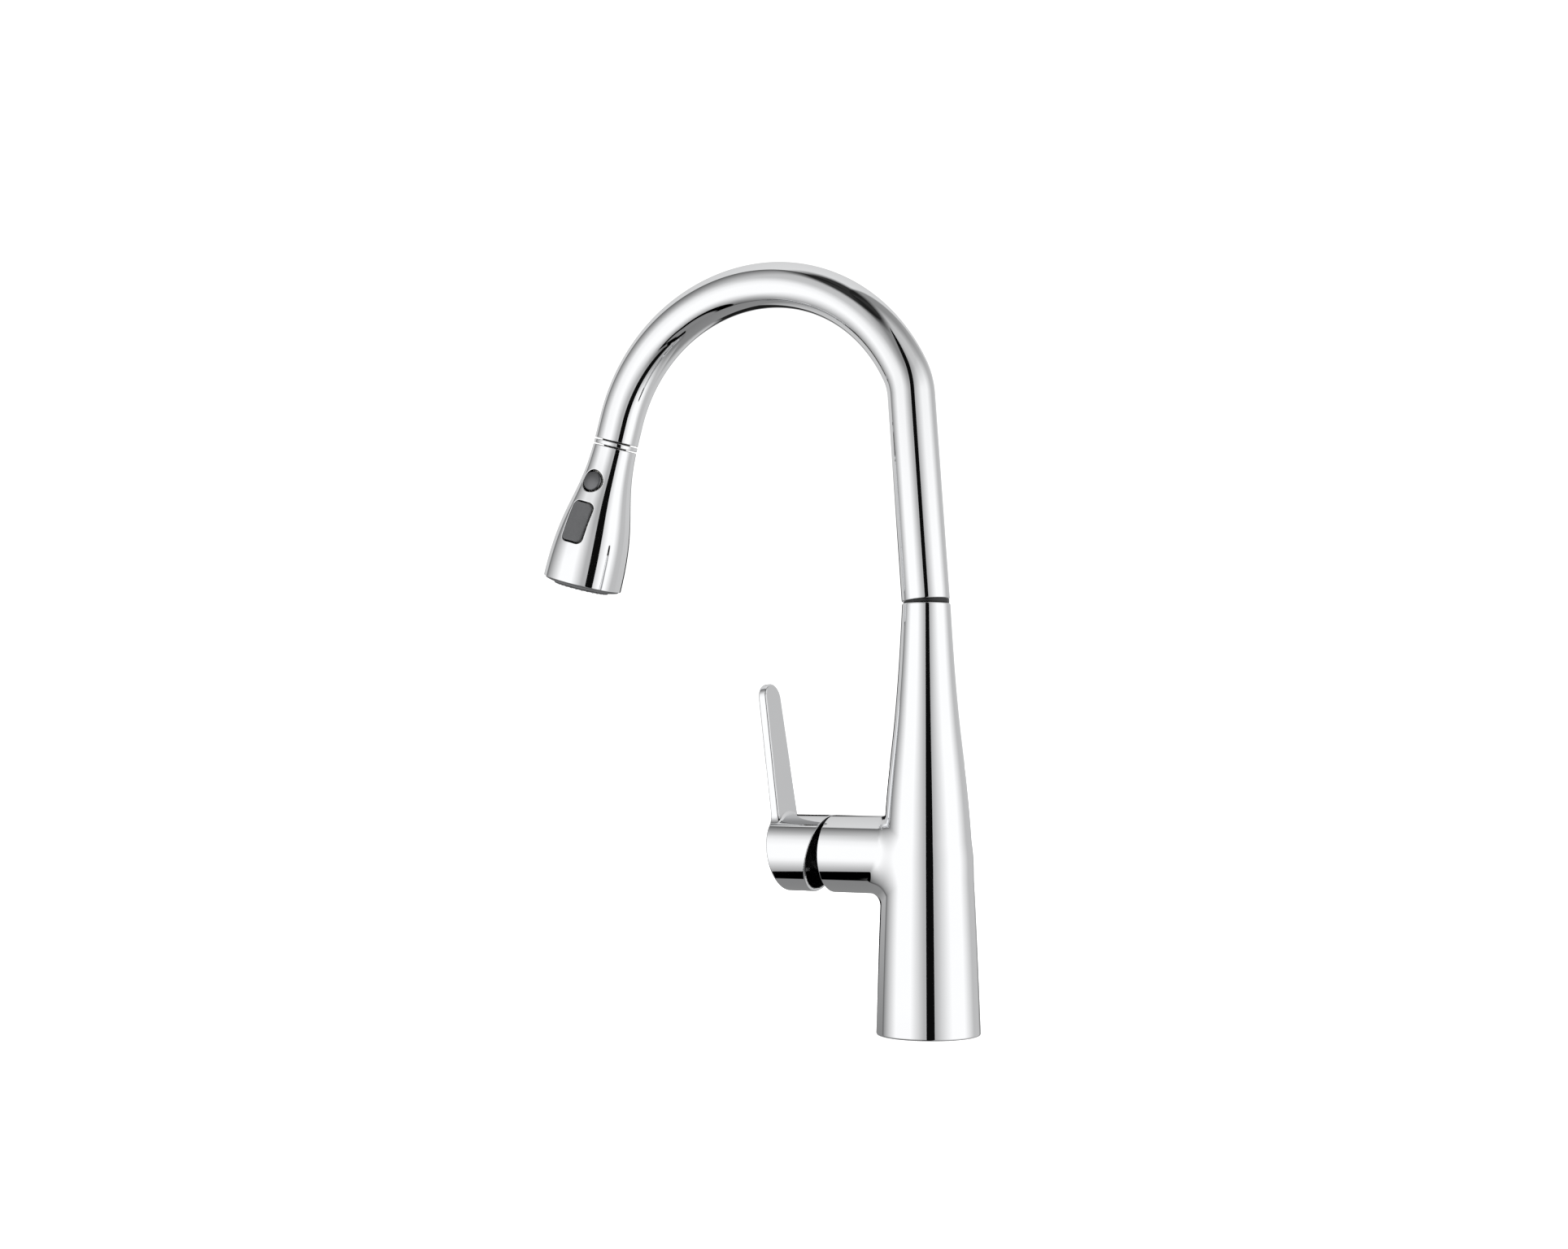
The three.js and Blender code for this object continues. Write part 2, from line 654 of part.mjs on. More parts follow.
function aeratorHousing() {
  return ring(AERATOR_BORE, AERATOR_R, FACE_Z - FACE_BULGE, FACE_Z + 11, 20);
}

function aeratorScreen() {
  return rod(AERATOR_BORE - GAP, FACE_Z + 0.4, FACE_Z + 3, 20);
}

// ---------------------------------------------------------------- scene graph
const faucet = new THREE.Group();

const head = new THREE.Group();   // origin at the tube's end, +Z back up the tube
head.position.set(0, -TUBE_END.out, TUBE_END.up);
head.rotation.x = -HEAD_TILT;
faucet.add(head);

const valve = new THREE.Group();  // +Z out along the valve's axis, +Y up
valve.position.set(0, 0, VALVE_Z);
valve.rotation.x = Math.PI / 2;
faucet.add(valve);

function place(group, name, solid, finish) {
  const mesh = new THREE.Mesh(toGeometry(solid), new THREE.MeshStandardMaterial(finish));
  mesh.name = name;
  group.add(mesh);
}

place(faucet, 'body_shell', bodyShell(), CHROME);
place(faucet, 'base_gasket', baseGasket(), RUBBER);
place(faucet, 'shank_socket', shankSocket(), BRASS);
for (const port of PORTS) {
  place(faucet, port.name, portFitting(port), BRASS);
}

place(valve, 'cartridge_seal', cartridgeSeal(), RUBBER);
place(valve, 'cartridge_base', cartridgeBase(), WHITE);
place(valve, 'fixed_disc', fixedDisc(), CERAMIC);
place(valve, 'moving_disc', movingDisc(), CERAMIC);
place(valve, 'disc_carrier', discCarrier(), WHITE);
place(valve, 'cartridge_body', cartridgeBody(), WHITE);
place(valve, 'spindle_rotor', spindleRotor(), WHITE);
place(valve, 'pivot_pin', pivotPin(), STEEL);
place(valve, 'cartridge_nut', cartridgeNut(), BRASS);
place(valve, 'bonnet', bonnet(), BLACK);

place(valve, 'lever_stem', leverStem(), BRASS);
place(valve, 'lever_handle', leverHandle(), CHROME);
place(valve, 'lever_set_screw', setScrew(), STEEL);
place(valve, 'set_screw_plug', setScrewPlug(), GREY);

place(faucet, 'spout_tube', spoutTube(), CHROME);
place(faucet, 'swivel_adapter', swivelAdapter(), CHROME);
place(faucet, 'swivel_bush', swivelBush(), WHITE);
place(faucet, 'swivel_lock_ring', swivelLockRing(), STEEL);
place(faucet, 'o_ring_upper', oRing(O_RING_R, 0.8, O_RING_HEIGHTS[0]), RUBBER);
place(faucet, 'o_ring_lower', oRing(O_RING_R, 0.8, O_RING_HEIGHTS[1]), RUBBER);
place(faucet, 'hose_run', hoseRun(), HOSE);

place(head, 'dock_bush', dockBush(), WHITE);
place(head, 'dock_magnet', dockMagnet(), STEEL);
place(head, 'dock_collar', dockCollar(), CHROME);
place(head, 'hose_tail', hoseTail(), HOSE);
place(head, 'hose_coupling', hoseCoupling(), BRASS);
place(head, 'head_swivel_bush', headSwivelBush(), WHITE);
place(head, 'head_shell', headShell(), CHROME);
place(head, 'head_core', headCore(), WHITE);
place(head, 'inlet_washer', inletWasher(), RUBBER);
place(head, 'check_valve', checkValve(), WHITE);
place(head, 'rocker_pin', rockerPin(), STEEL);
place(head, 'mode_rocker', modeRocker(), GREY);
place(head, 'diverter_spool', diverterSpool(), WHITE);
place(head, 'pause_button', pauseButton(), GREY);
place(head, 'pause_spring', pauseSpring(), STEEL);
place(head, 'spray_face', sprayFace(), GREY);
place(head, 'nozzle_pad', nozzlePad(), GREY);
place(head, 'aerator_housing', aeratorHousing(), GREY);
place(head, 'aerator_screen', aeratorScreen(), STEEL);

export default faucet;
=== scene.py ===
"""Looks of the pull-down kitchen faucet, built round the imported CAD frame.

Sizes below are in millimetres and repeat the CAD model's; meshes are scaled to metres when made.
Row frame: origin at the base's centre on the deck, +Z up, spout and lever towards -Y.
"""

import itertools
import json
import math

import bmesh
import bpy
import numpy as np
from mathutils import Matrix, Vector


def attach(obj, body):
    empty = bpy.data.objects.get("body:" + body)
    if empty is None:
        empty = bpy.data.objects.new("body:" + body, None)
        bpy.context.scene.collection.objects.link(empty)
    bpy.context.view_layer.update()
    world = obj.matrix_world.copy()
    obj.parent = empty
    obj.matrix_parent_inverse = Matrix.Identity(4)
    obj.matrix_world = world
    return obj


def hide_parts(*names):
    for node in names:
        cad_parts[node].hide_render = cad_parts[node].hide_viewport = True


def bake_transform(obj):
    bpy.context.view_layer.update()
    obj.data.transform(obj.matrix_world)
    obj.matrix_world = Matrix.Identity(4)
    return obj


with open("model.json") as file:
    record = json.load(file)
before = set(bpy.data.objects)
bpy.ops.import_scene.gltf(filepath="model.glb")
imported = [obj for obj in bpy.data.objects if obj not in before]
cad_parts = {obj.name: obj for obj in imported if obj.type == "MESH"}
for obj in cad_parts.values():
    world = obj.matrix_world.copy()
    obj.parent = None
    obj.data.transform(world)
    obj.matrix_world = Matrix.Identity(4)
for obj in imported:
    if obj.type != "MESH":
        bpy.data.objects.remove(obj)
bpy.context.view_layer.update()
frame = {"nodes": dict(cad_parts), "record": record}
MM = 0.001

# ---------------------------------------------------------------- sizes, as in the CAD model
GAP = 0.3
TUBE_R, TUBE_BORE = 12.5, 11.3
BASE_R, BODY_TOP = 26.65, 220.5
BODY_CURVE = [(BASE_R, 0), (21.9, 164.6), (18.1, 112.6), (TUBE_R, BODY_TOP)]
CAVITY_R, CAVITY_TOP = 21.5, 66
PASSAGE_R, BEARING_R, BEARING_FLOOR = 9, 10.9, 191
LOCK_GROOVE_R, LOCK_GROOVE_LOW, LOCK_GROOVE_HIGH = 11.6, 206.5, 208.1
PASSAGE_FLOOR, PORT_FLOOR = 10, 60
FILLET_MEAN, FILLET_SWING = 5.25, 2.75      # between column and housing: tighter on top, wider below
VALVE_Z, HOUSING_R, HOUSING_END = 90.5, 20.25, 54
VALVE_BORE, VALVE_FLOOR = 17.8, 20
PORTS = [(-9.5, 12.2, 90.5), (9.5, 12.2, 90.5), (0, 15.6, 80)]
SOCKET_R, SOCKET_TOP, WATERWAY_R = 4.2, 74, 2.2

ADAPTER_BORE, SPIGOT_R, SPIGOT_LOW, SPIGOT_HIGH, ADAPTER_BORE_TOP = 7.6, 9.4, 193, 223, 224
# each groove's middle, half height and floor radius
ADAPTER_GROOVES = (203.5, 1.2, 8.6), (198.5, 1.2, 8.6), (207.3, 0.9, 8.8)
PLUG_LENGTH = 14

LEAN, NECK_START_Z, NECK_LENGTH = 4.1, 218.1, 112.5
BENDS = [(37.3, 21.9), (99.2, 92.8), (91.0, 45.0)]
TAIL_LENGTH, TUBE_FOOT = 12.5, 4.1
HOSE_R, HOSE_FOOT_Z = 6.5, 4
HOSE_TAIL_TOP = 12.5
HOSE_TAIL_END = 4                 # how far the hose runs on past the tube's end, into its coupling
COLLAR_LOW, COLLAR_HIGH, COLLAR_TOP = -3.1, -0.7, 9
COLLAR_BORE, COLLAR_NECK_R = 6.9, 8.1

HEAD_TOP, HEAD_LENGTH, HEAD_MOUTH_R, HEAD_WALL = -3.8, 79.7, 22.55, 1.8
HEAD_CURVE = [(12.55, 0), (13.5, 33), (22.6, 37), (HEAD_MOUTH_R, HEAD_LENGTH)]
FACE_Z = HEAD_TOP - HEAD_LENGTH
PAUSE_DROP, PAUSE_SURFACE, PAUSE_R = 20.7, 14.67, 5.9
PAUSE_DOME_R, PAUSE_DOME_TOP = 14, 0.8
MODE_DROP, MODE_SURFACE = 45, 19.821
ROCKER_W, ROCKER_L, ROCKER_CORNER, ROCKER_PIVOT = 13, 23, 3, -4.6
BUTTON_GAP = 0.7
BUTTON_SLOPE = 10.5
FACE_OUTER_R, FACE_INNER_R, FACE_BULGE, FACE_RIM_BULGE = 21.3, 8.6, 2.0, 0.9
PAD_R, PAD_BULGE = 15.8, 3.1
NOZZLE_RINGS = (10.0, 16), (12.2, 22), (14.3, 28)     # radius, count
AERATOR_BORE, AERATOR_R, AERATOR_DEPTH = 6.6, 8.3, 11
MOUTH_WALL, MOUTH_DEPTH = 0.9, 7
OPENING_REACH = 8                                     # half depth of the cuts for the two buttons
PAUSE_STEM_R, PAUSE_STEM_END, PAUSE_SKIRT, PAUSE_POCKET_R = 1.6, 11, 1.8, 3
ROCKER_PROUD, ROCKER_DISH, ROCKER_CREASE, ROCKER_CROWN = 0.3, 0.35, 0.055, 0.014

PIVOT_U, BONNET_OUTER, BONNET_INNER = 44, 20, 18
HUB_END, END_LEAN = 84.6, math.radians(8.27)
HUB_NEAR_TOP, HUB_NEAR_BOTTOM = 55, 65.5
BLADE_TOP, BLADE_THICKNESS = 180 - VALVE_Z, 5
BLADE_ROOT_W, BLADE_TIP_W = 22.8, 16.4
HUB_WALL, HUB_FLOOR, BOSS_R, BOSS_FACE = 2, 80, 8.5, 64
STEM_HOLE_HALF, STEM_HOLE_END = 4.3, 76.3
SET_SCREW_AT, SET_SCREW_HOLE_R = 72, 2.8


# ---------------------------------------------------------------- spout line
def spout_line(distance):
    """Out, up and heading of the spout's centre line at distances along it from its start."""
    distance = np.asarray(distance, float)
    out = np.zeros_like(distance)
    up = NECK_START_Z + distance
    heading = np.zeros_like(distance)
    o, u, h, begin = 0.0, NECK_START_Z, math.radians(LEAN), 0.0
    stretches = [(NECK_LENGTH, None)]
    stretches += [(radius * math.radians(turn), radius) for radius, turn in BENDS]
    stretches += [(TAIL_LENGTH, None)]
    for length, radius in stretches:
        here = distance >= begin
        run = distance - begin
        if radius is None:
            out = np.where(here, o + run * math.sin(h), out)
            up = np.where(here, u + run * math.cos(h), up)
            heading = np.where(here, h, heading)
            o, u = o + length * math.sin(h), u + length * math.cos(h)
        else:
            angle = h + run / radius
            out = np.where(here, o + radius * (math.cos(h) - np.cos(angle)), out)
            up = np.where(here, u + radius * (np.sin(angle) - math.sin(h)), up)
            heading = np.where(here, angle, heading)
            turned = h + length / radius
            o += radius * (math.cos(h) - math.cos(turned))
            u += radius * (math.sin(turned) - math.sin(h))
            h = turned
        begin += length
    return out, up, heading


LINE_LENGTH = NECK_LENGTH + TAIL_LENGTH + sum(r * math.radians(t) for r, t in BENDS)
END_OUT, END_UP, END_HEADING = (float(v) for v in spout_line(LINE_LENGTH))

VALVE = Matrix.Translation((0, 0, VALVE_Z)) @ Matrix.Rotation(math.pi / 2, 4, "X")
HEAD = Matrix.Translation((0, -END_OUT, END_UP)) @ Matrix.Rotation(END_HEADING - math.pi, 4, "X")


def on_head_side(drop, surface):
    """Frame on the head's side: +X outward, at that distance below the head's top."""
    turn = Matrix.Rotation(math.radians(-BUTTON_SLOPE), 4, "Y")
    return HEAD @ Matrix.Translation((surface, 0, HEAD_TOP - drop)) @ turn


PAUSE_FRAME = on_head_side(PAUSE_DROP, PAUSE_SURFACE)
MODE_FRAME = on_head_side(MODE_DROP, MODE_SURFACE)

# ---------------------------------------------------------------- camera
TOWARDS_CAMERA = Vector((math.cos(math.radians(30)), math.sin(math.radians(30)), 0))
IMAGE_RIGHT = Vector((-TOWARDS_CAMERA.y, TOWARDS_CAMERA.x, 0))
CAMERA_PITCH = math.radians(4)

camera = bpy.data.objects.new("camera", bpy.data.cameras.new("camera"))
bpy.context.scene.collection.objects.link(camera)
bpy.context.scene.camera = camera
camera.data.sensor_width = 36
camera.data.lens = 44.81
camera.location = (0.9099, 0.4402, 0.1391)
looking = Vector((0, 0, math.sin(CAMERA_PITCH))) - TOWARDS_CAMERA * math.cos(CAMERA_PITCH)
camera.rotation_mode = "QUATERNION"
camera.rotation_quaternion = looking.to_track_quat("-Z", "Y")


# ---------------------------------------------------------------- node helpers
class Nodes:
    """Short calls for building one node tree."""

    def __init__(self, tree):
        self.tree = tree
        tree.nodes.clear()

    def add(self, kind, settings=None, **inputs):
        node = self.tree.nodes.new(kind)
        for key, value in (settings or {}).items():
            setattr(node, key, value)
        for key, value in inputs.items():
            self.set(node, key.replace("_", " ") if not key.startswith("i") else int(key[1:]), value)
        return node

    def set(self, node, socket, value):
        if isinstance(value, bpy.types.NodeSocket):
            self.tree.links.new(value, node.inputs[socket])
        else:
            node.inputs[socket].default_value = value

    def math(self, operation, a, b=0.0):
        node = self.add("ShaderNodeMath", {"operation": operation}, i0=a, i1=b)
        return node.outputs[0]

    def ramp(self, factor, stops):
        node = self.add("ShaderNodeValToRGB", i0=factor)
        elements = node.color_ramp.elements
        while len(elements) < len(stops):
            elements.new(0.5)
        for element, (position, value) in zip(elements, stops):
            element.position = position
            colour = value if isinstance(value, tuple) else (value,) * 3
            element.color = (*colour, 1)
        return node.outputs[0]


# ---------------------------------------------------------------- materials
MATERIALS = {}


def finish(name, colour, second, roughness, patch, grain, grain_depth, metallic=0.0, grain_strength=0.2):
    """A procedural finish: two close colours in soft patches, uneven gloss and a fine grain."""
    material = bpy.data.materials.new(name)
    material.use_nodes = True
    nodes = Nodes(material.node_tree)
    place = nodes.add("ShaderNodeTexCoord").outputs["Object"]
    clouds = nodes.add("ShaderNodeTexNoise", Vector=place, Scale=patch, Detail=5.0, Roughness=0.6)
    fine = nodes.add("ShaderNodeTexNoise", Vector=place, Scale=grain, Detail=3.0)
    shader = nodes.add("ShaderNodeBsdfPrincipled", Metallic=metallic)
    patches = nodes.ramp(clouds.outputs[0], [(0.25, colour), (0.75, second)])
    nodes.set(shader, "Base Color", patches)
    gloss = nodes.add("ShaderNodeMapRange", i0=clouds.outputs[0], i1=0.3, i2=0.7,
                      i3=roughness[0], i4=roughness[1])
    nodes.set(shader, "Roughness", gloss.outputs[0])
    bump = nodes.add("ShaderNodeBump", Strength=grain_strength, Distance=grain_depth, Height=fine.outputs[0])
    nodes.set(shader, "Normal", bump.outputs[0])
    nodes.add("ShaderNodeOutputMaterial", Surface=shader.outputs[0])
    MATERIALS[name] = material
    return nodes, shader, bump


finish("chrome_body", (0.925, 0.93, 0.94), (0.905, 0.912, 0.925), metallic=1, roughness=(0.022, 0.045),
       patch=18, grain=2500, grain_depth=4e-7, grain_strength=0.15)
finish("chrome_head", (0.925, 0.93, 0.94), (0.905, 0.912, 0.925), metallic=1, roughness=(0.03, 0.055),
       patch=22, grain=2500, grain_depth=4e-7, grain_strength=0.15)
finish("brass", (0.72, 0.53, 0.26), (0.62, 0.43, 0.2), metallic=1, roughness=(0.22, 0.42), patch=140,
       grain=900, grain_depth=2e-5)
finish("steel", (0.6, 0.6, 0.61), (0.5, 0.5, 0.51), metallic=1, roughness=(0.2, 0.38), patch=160,
       grain=1800, grain_depth=1e-5)
finish("rubber", (0.018, 0.018, 0.019), (0.028, 0.027, 0.027), roughness=(0.62, 0.8), patch=200,
       grain=2600, grain_depth=2e-5, grain_strength=0.4)
finish("white_plastic", (0.78, 0.77, 0.73), (0.72, 0.71, 0.67), roughness=(0.38, 0.5), patch=120,
       grain=2200, grain_depth=1e-5)
finish("black_plastic", (0.006, 0.006, 0.0065), (0.01, 0.01, 0.01), roughness=(0.28, 0.38), patch=120,
       grain=3000, grain_depth=4e-6)
finish("ceramic", (0.84, 0.83, 0.79), (0.8, 0.79, 0.75), roughness=(0.08, 0.16), patch=90,
       grain=1500, grain_depth=2e-6)
finish("grey_plastic", (0.08, 0.081, 0.084), (0.07, 0.071, 0.074), roughness=(0.4, 0.5), patch=160,
       grain=4200, grain_depth=1.2e-5, grain_strength=0.35)
finish("dark_grey_plastic", (0.2, 0.202, 0.208), (0.18, 0.182, 0.188), metallic=1, roughness=(0.3, 0.36),
       patch=160, grain=4200, grain_depth=8e-6, grain_strength=0.3)
finish("grey_silicone", (0.125, 0.126, 0.13), (0.11, 0.111, 0.115), roughness=(0.5, 0.62), patch=180,
       grain=3800, grain_depth=1.4e-5, grain_strength=0.35)


def braid_finish():
    """The hose's woven jacket: two families of strands crossing round the head's axis."""
    nodes, shader, bump = finish("hose", (0.34, 0.345, 0.35), (0.26, 0.265, 0.27),
                                 roughness=(0.34, 0.5), patch=400, grain=5000, grain_depth=1e-5)
    place = nodes.add("ShaderNodeTexCoord").outputs["Object"]
    tilt = nodes.add("ShaderNodeMapping", {"vector_type": "TEXTURE"}, Vector=place)
    tilt.inputs["Location"].default_value = HEAD.to_translation() * MM
    tilt.inputs["Rotation"].default_value = HEAD.to_euler()
    split = nodes.add("ShaderNodeSeparateXYZ", Vector=tilt.outputs[0])
    round_axis = nodes.math("ARCTAN2", split.outputs[1], split.outputs[0])
    strands, pitch = 12.0, 0.026
    along = nodes.math("MULTIPLY", split.outputs[2], 2 * math.pi / pitch * 4)
    around = nodes.math("MULTIPLY", round_axis, strands)
    one = nodes.math("SINE", nodes.math("ADD", around, along))
    two = nodes.math("SINE", nodes.math("SUBTRACT", around, along))
    weave = nodes.math("MAXIMUM", one, two)
    colours = nodes.ramp(nodes.math("MULTIPLY_ADD", weave, 0.5),
                         [(0.3, (0.06, 0.06, 0.065)), (0.75, (0.4, 0.405, 0.41))])
    nodes.set(shader, "Base Color", colours)
    height = nodes.add("ShaderNodeBump", Strength=0.8, Distance=0.0003, Height=weave)
    nodes.set(height, "Normal", bump.outputs[0])
    nodes.set(shader, "Normal", height.outputs[0])


braid_finish()

SLOTS = {s["node"]: s["material_slot"] for s in frame["record"]["subparts"]}


# ---------------------------------------------------------------- mesh helpers
def piece(name, node_names, body, points, faces, place=None, vertex_normals=None, corner_normals=None,
          look=None, dark=None):
    """Makes one visible piece from points in millimetres, in the given frame, in place of CAD nodes.

    look names another finish than the slot's. The last argument picks, by their middles, the inner faces
    that are painted black as shade.
    """
    place = np.array(place or Matrix.Identity(4))
    turn = place[:3, :3].T
    mesh = bpy.data.meshes.new(name)
    mesh.from_pydata(((points @ turn + place[:3, 3]) * MM).tolist(), [], faces)
    mesh.shade_smooth()
    if vertex_normals is not None:
        mesh.normals_split_custom_set_from_vertices((vertex_normals @ turn).tolist())
    if corner_normals is not None:
        mesh.normals_split_custom_set((corner_normals @ turn).tolist())
    obj = bpy.data.objects.new(name, mesh)
    bpy.context.scene.collection.objects.link(obj)
    slot = SLOTS[node_names[0]]
    mesh.materials.append(MATERIALS[look or slot])
    # Faces that the mask picks get black plastic: painted shade in hollows and gaps.
    if dark is not None:
        mesh.materials.append(MATERIALS["black_plastic"])
        middles = points[np.array(faces)].mean(1)
        mesh.polygons.foreach_set("material_index", dark(*middles.T).astype(np.int32))
    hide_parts(*node_names)
    if body:
        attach(obj, body)
    return obj


def unit(vectors):
    """Vectors scaled to length one."""
    return vectors / np.maximum(np.linalg.norm(vectors, axis=-1, keepdims=True), 1e-12)


def span(*parts):
    """Grid positions from (start, end, step) stretches laid end to end."""
    out = []
    for start, end, step in parts:
        count = max(1, int(round((end - start) / step)))
        out += list(np.linspace(start, end, count, endpoint=False))
    return np.array(out + [parts[-1][1]])


def slope(field, points):
    """The field's value and gradient at points."""
    reach = 0.02
    columns = []
    for axis in range(3):
        step = np.zeros(3)
        step[axis] = reach
        columns.append((field(points + step) - field(points - step)) / (2 * reach))
    return field(points), np.stack(columns, 1)


def skin(field, axes):
    """Mesh of the surface where a distance field is zero: one point for each crossed grid cell."""
    grid = np.stack(np.meshgrid(*axes, indexing="ij"), -1)
    value = field(grid.reshape(-1, 3)).reshape(grid.shape[:3])
    inside = value < 0
    count = [len(a) - 1 for a in axes]
    corners = [np.array(o) for o in itertools.product((0, 1), repeat=3)]
    filled = sum(
        inside[o[0]:o[0] + count[0], o[1]:o[1] + count[1], o[2]:o[2] + count[2]].astype(np.int8)
        for o in corners
    )
    cells = np.argwhere((filled > 0) & (filled < 8))
    index = np.full(count, -1)
    index[tuple(cells.T)] = np.arange(len(cells))
    total, hits = np.zeros((len(cells), 3)), np.zeros(len(cells))
    for axis in range(3):
        for corner in corners:
            if corner[axis]:
                continue
            a = cells + corner
            b = a + np.eye(3, dtype=int)[axis]
            fa, fb = value[tuple(a.T)], value[tuple(b.T)]
            crossed = (fa < 0) != (fb < 0)
            share = np.where(crossed, fa / np.where(crossed, fa - fb, 1), 0)[:, None]
            start = grid[tuple(a.T)]
            total += crossed[:, None] * (start + share * (grid[tuple(b.T)] - start))
            hits += crossed
    points = total / hits[:, None]
    for _ in range(6):
        f, g = slope(field, points)
        step = g * (f / np.maximum((g ** 2).sum(1), 0.05))[:, None]
        length = np.linalg.norm(step, axis=1, keepdims=True)
        points = points - step * np.minimum(1, 0.4 / np.maximum(length, 1e-9))
    faces = []
    for axis in range(3):
        b, c = (axis + 1) % 3, (axis + 2) % 3
        near = np.take(inside, range(count[axis]), axis)
        far = np.take(inside, range(1, count[axis] + 1), axis)
        edges = np.argwhere(near != far)
        clear = (edges[:, b] > 0) & (edges[:, b] < count[b]) & (edges[:, c] > 0) & (edges[:, c] < count[c])
        edges = edges[clear]
        quad = []
        for db, dc in ((-1, -1), (0, -1), (0, 0), (-1, 0)):
            cell = edges.copy()
            cell[:, b] += db
            cell[:, c] += dc
            quad.append(index[tuple(cell.T)])
        quad = np.stack(quad, 1)
        outward = near[tuple(edges.T)]
        faces.append(np.where(outward[:, None], quad, quad[:, ::-1]))
    _, normals = slope(field, points)
    return points, np.concatenate(faces).tolist(), unit(normals)


def field_piece(name, body, field, axes, place=None, **options):
    """Makes a piece from a distance field, meshed on the grid that the axes give."""
    points, faces, normals = skin(lambda p: field(*p.T), axes)
    return piece(name, [name], body, points, faces, place, vertex_normals=normals, **options)


def round_cut(a, b, r):
    """Where both fields are inside, with the edge between them rounded to radius r."""
    return np.minimum(-r, np.maximum(a, b)) + np.hypot(np.maximum(r + a, 0), np.maximum(r + b, 0))


def round_join(a, b, r):
    """Where either field is inside, with a fillet of radius r between them."""
    return np.maximum(r, np.minimum(a, b)) - np.hypot(np.maximum(r - a, 0), np.maximum(r - b, 0))


def hypot3(a, b, c):
    return np.sqrt(a * a + b * b + c * c)


def rounded_box(a, b, half_a, half_b, corner):
    """Distance to a rectangle with round corners, in its own plane."""
    qa, qb = np.abs(a) - half_a + corner, np.abs(b) - half_b + corner
    outside = np.hypot(np.maximum(qa, 0), np.maximum(qb, 0))
    return outside + np.minimum(np.maximum(qa, qb), 0) - corner


def bezier(points):
    """Points of a cubic Bezier as two arrays."""
    steps = 600
    t = np.linspace(0, 1, steps)[:, None]
    a, b, c, d = (np.array(p, float) for p in points)
    curve = a * (1 - t) ** 3 + 3 * b * t * (1 - t) ** 2 + 3 * c * t ** 2 * (1 - t) + d * t ** 3
    return curve[:, 0], curve[:, 1]


def soften(profile, arc_steps=5):
    """Rounds the corners of a closed profile of (radius, height, corner radius) points."""
    out = []
    count = len(profile)
    for i, (r, s, corner) in enumerate(profile):
        here = np.array([r, s], float)
        if corner <= 0:
            out.append(here)
            continue
        back = unit(np.array(profile[i - 1][:2], float) - here)
        ahead = unit(np.array(profile[(i + 1) % count][:2], float) - here)
        half = math.acos(float(np.clip(back @ ahead, -1, 1))) / 2
        centre = here + unit(back + ahead) * corner / math.sin(half)
        start = here + back * corner / math.tan(half) - centre
        end = here + ahead * corner / math.tan(half) - centre
        sweep = math.pi - 2 * half
        for k in range(arc_steps + 1):
            t = k / arc_steps
            mix = start * math.sin((1 - t) * sweep) + end * math.sin(t * sweep)
            out.append(centre + mix / math.sin(sweep))
    return np.array(out)


def revolve(profile, sides=96, path=None):
    """Turns a closed anticlockwise (radius, height) profile about Z, or about the spout line."""
    split_angle = 35
    profile = np.asarray(profile, float)
    count = len(profile)
    radius, height = profile.T
    if path is None:
        out, up, heading = np.zeros(count), height, np.zeros(count)
    else:
        out, up, heading = path(height)
    edge = np.roll(profile, -1, 0) - profile
    length = np.linalg.norm(edge, axis=1)
    flat = np.stack([edge[:, 1], -edge[:, 0]], 1) / np.maximum(length, 1e-9)[:, None]
    before = np.roll(flat, 1, 0)
    blended = unit(before * np.roll(length, 1)[:, None] + flat * length[:, None])
    smooth = (before * flat).sum(1) > math.cos(math.radians(split_angle))
    angle = np.arange(sides) * 2 * math.pi / sides
    across = np.stack([np.cos(angle), np.sin(angle)], 1)

    def spread(i, radial, axial):
        """Vectors round the ring at profile point i."""
        sine, cosine = math.sin(heading[i]), math.cos(heading[i])
        side = np.stack([across[:, 0], across[:, 1] * cosine, across[:, 1] * sine], 1)
        return side * radial + np.array([0, -sine, cosine]) * axial

    points, first = [], []
    for i in range(count):
        first.append(len(points))
        ring = spread(i, radius[i], 0) + np.array([0, -out[i], up[i]])
        points += list(ring if radius[i] > 1e-6 else ring[:1])
    faces, normals = [], []
    for i in range(count):
        j = (i + 1) % count
        on_axis = (radius[i] <= 1e-6, radius[j] <= 1e-6)
        if all(on_axis) or length[i] < 1e-9:
            continue
        start = blended[i] if smooth[i] else flat[i]
        end = blended[j] if smooth[j] else flat[i]
        low, high = spread(i, start[0], start[1]), spread(j, end[0], end[1])
        for k in range(sides):
            m = (k + 1) % sides
            if on_axis[0]:
                faces.append((first[i], first[j] + m, first[j] + k))
                normals += [low[k], high[m], high[k]]
            elif on_axis[1]:
                faces.append((first[i] + k, first[i] + m, first[j]))
                normals += [low[k], low[m], high[k]]
            else:
                faces.append((first[i] + k, first[i] + m, first[j] + m, first[j] + k))
                normals += [low[k], low[m], high[m], high[k]]
    return np.array(points), faces, np.array(normals)


def turned_piece(name, body, profile, place=None, dark=None, **options):
    """Makes a piece by turning a profile."""
    points, faces, normals = revolve(profile, **options)
    return piece(name, [name], body, points, faces, place, corner_normals=normals, dark=dark)


# ---------------------------------------------------------------- hose
def hose_piece(name, along):
    """A stretch of the hose, at rest along the spout line."""
    profile = [(0, along[0])] + [(HOSE_R, s) for s in along] + [(0, along[-1])]
    points, faces, _ = revolve(profile, sides=40, path=spout_line)
    obj = piece(name, [name], None, points, faces)
    obj.visible_glossy = False
    return obj


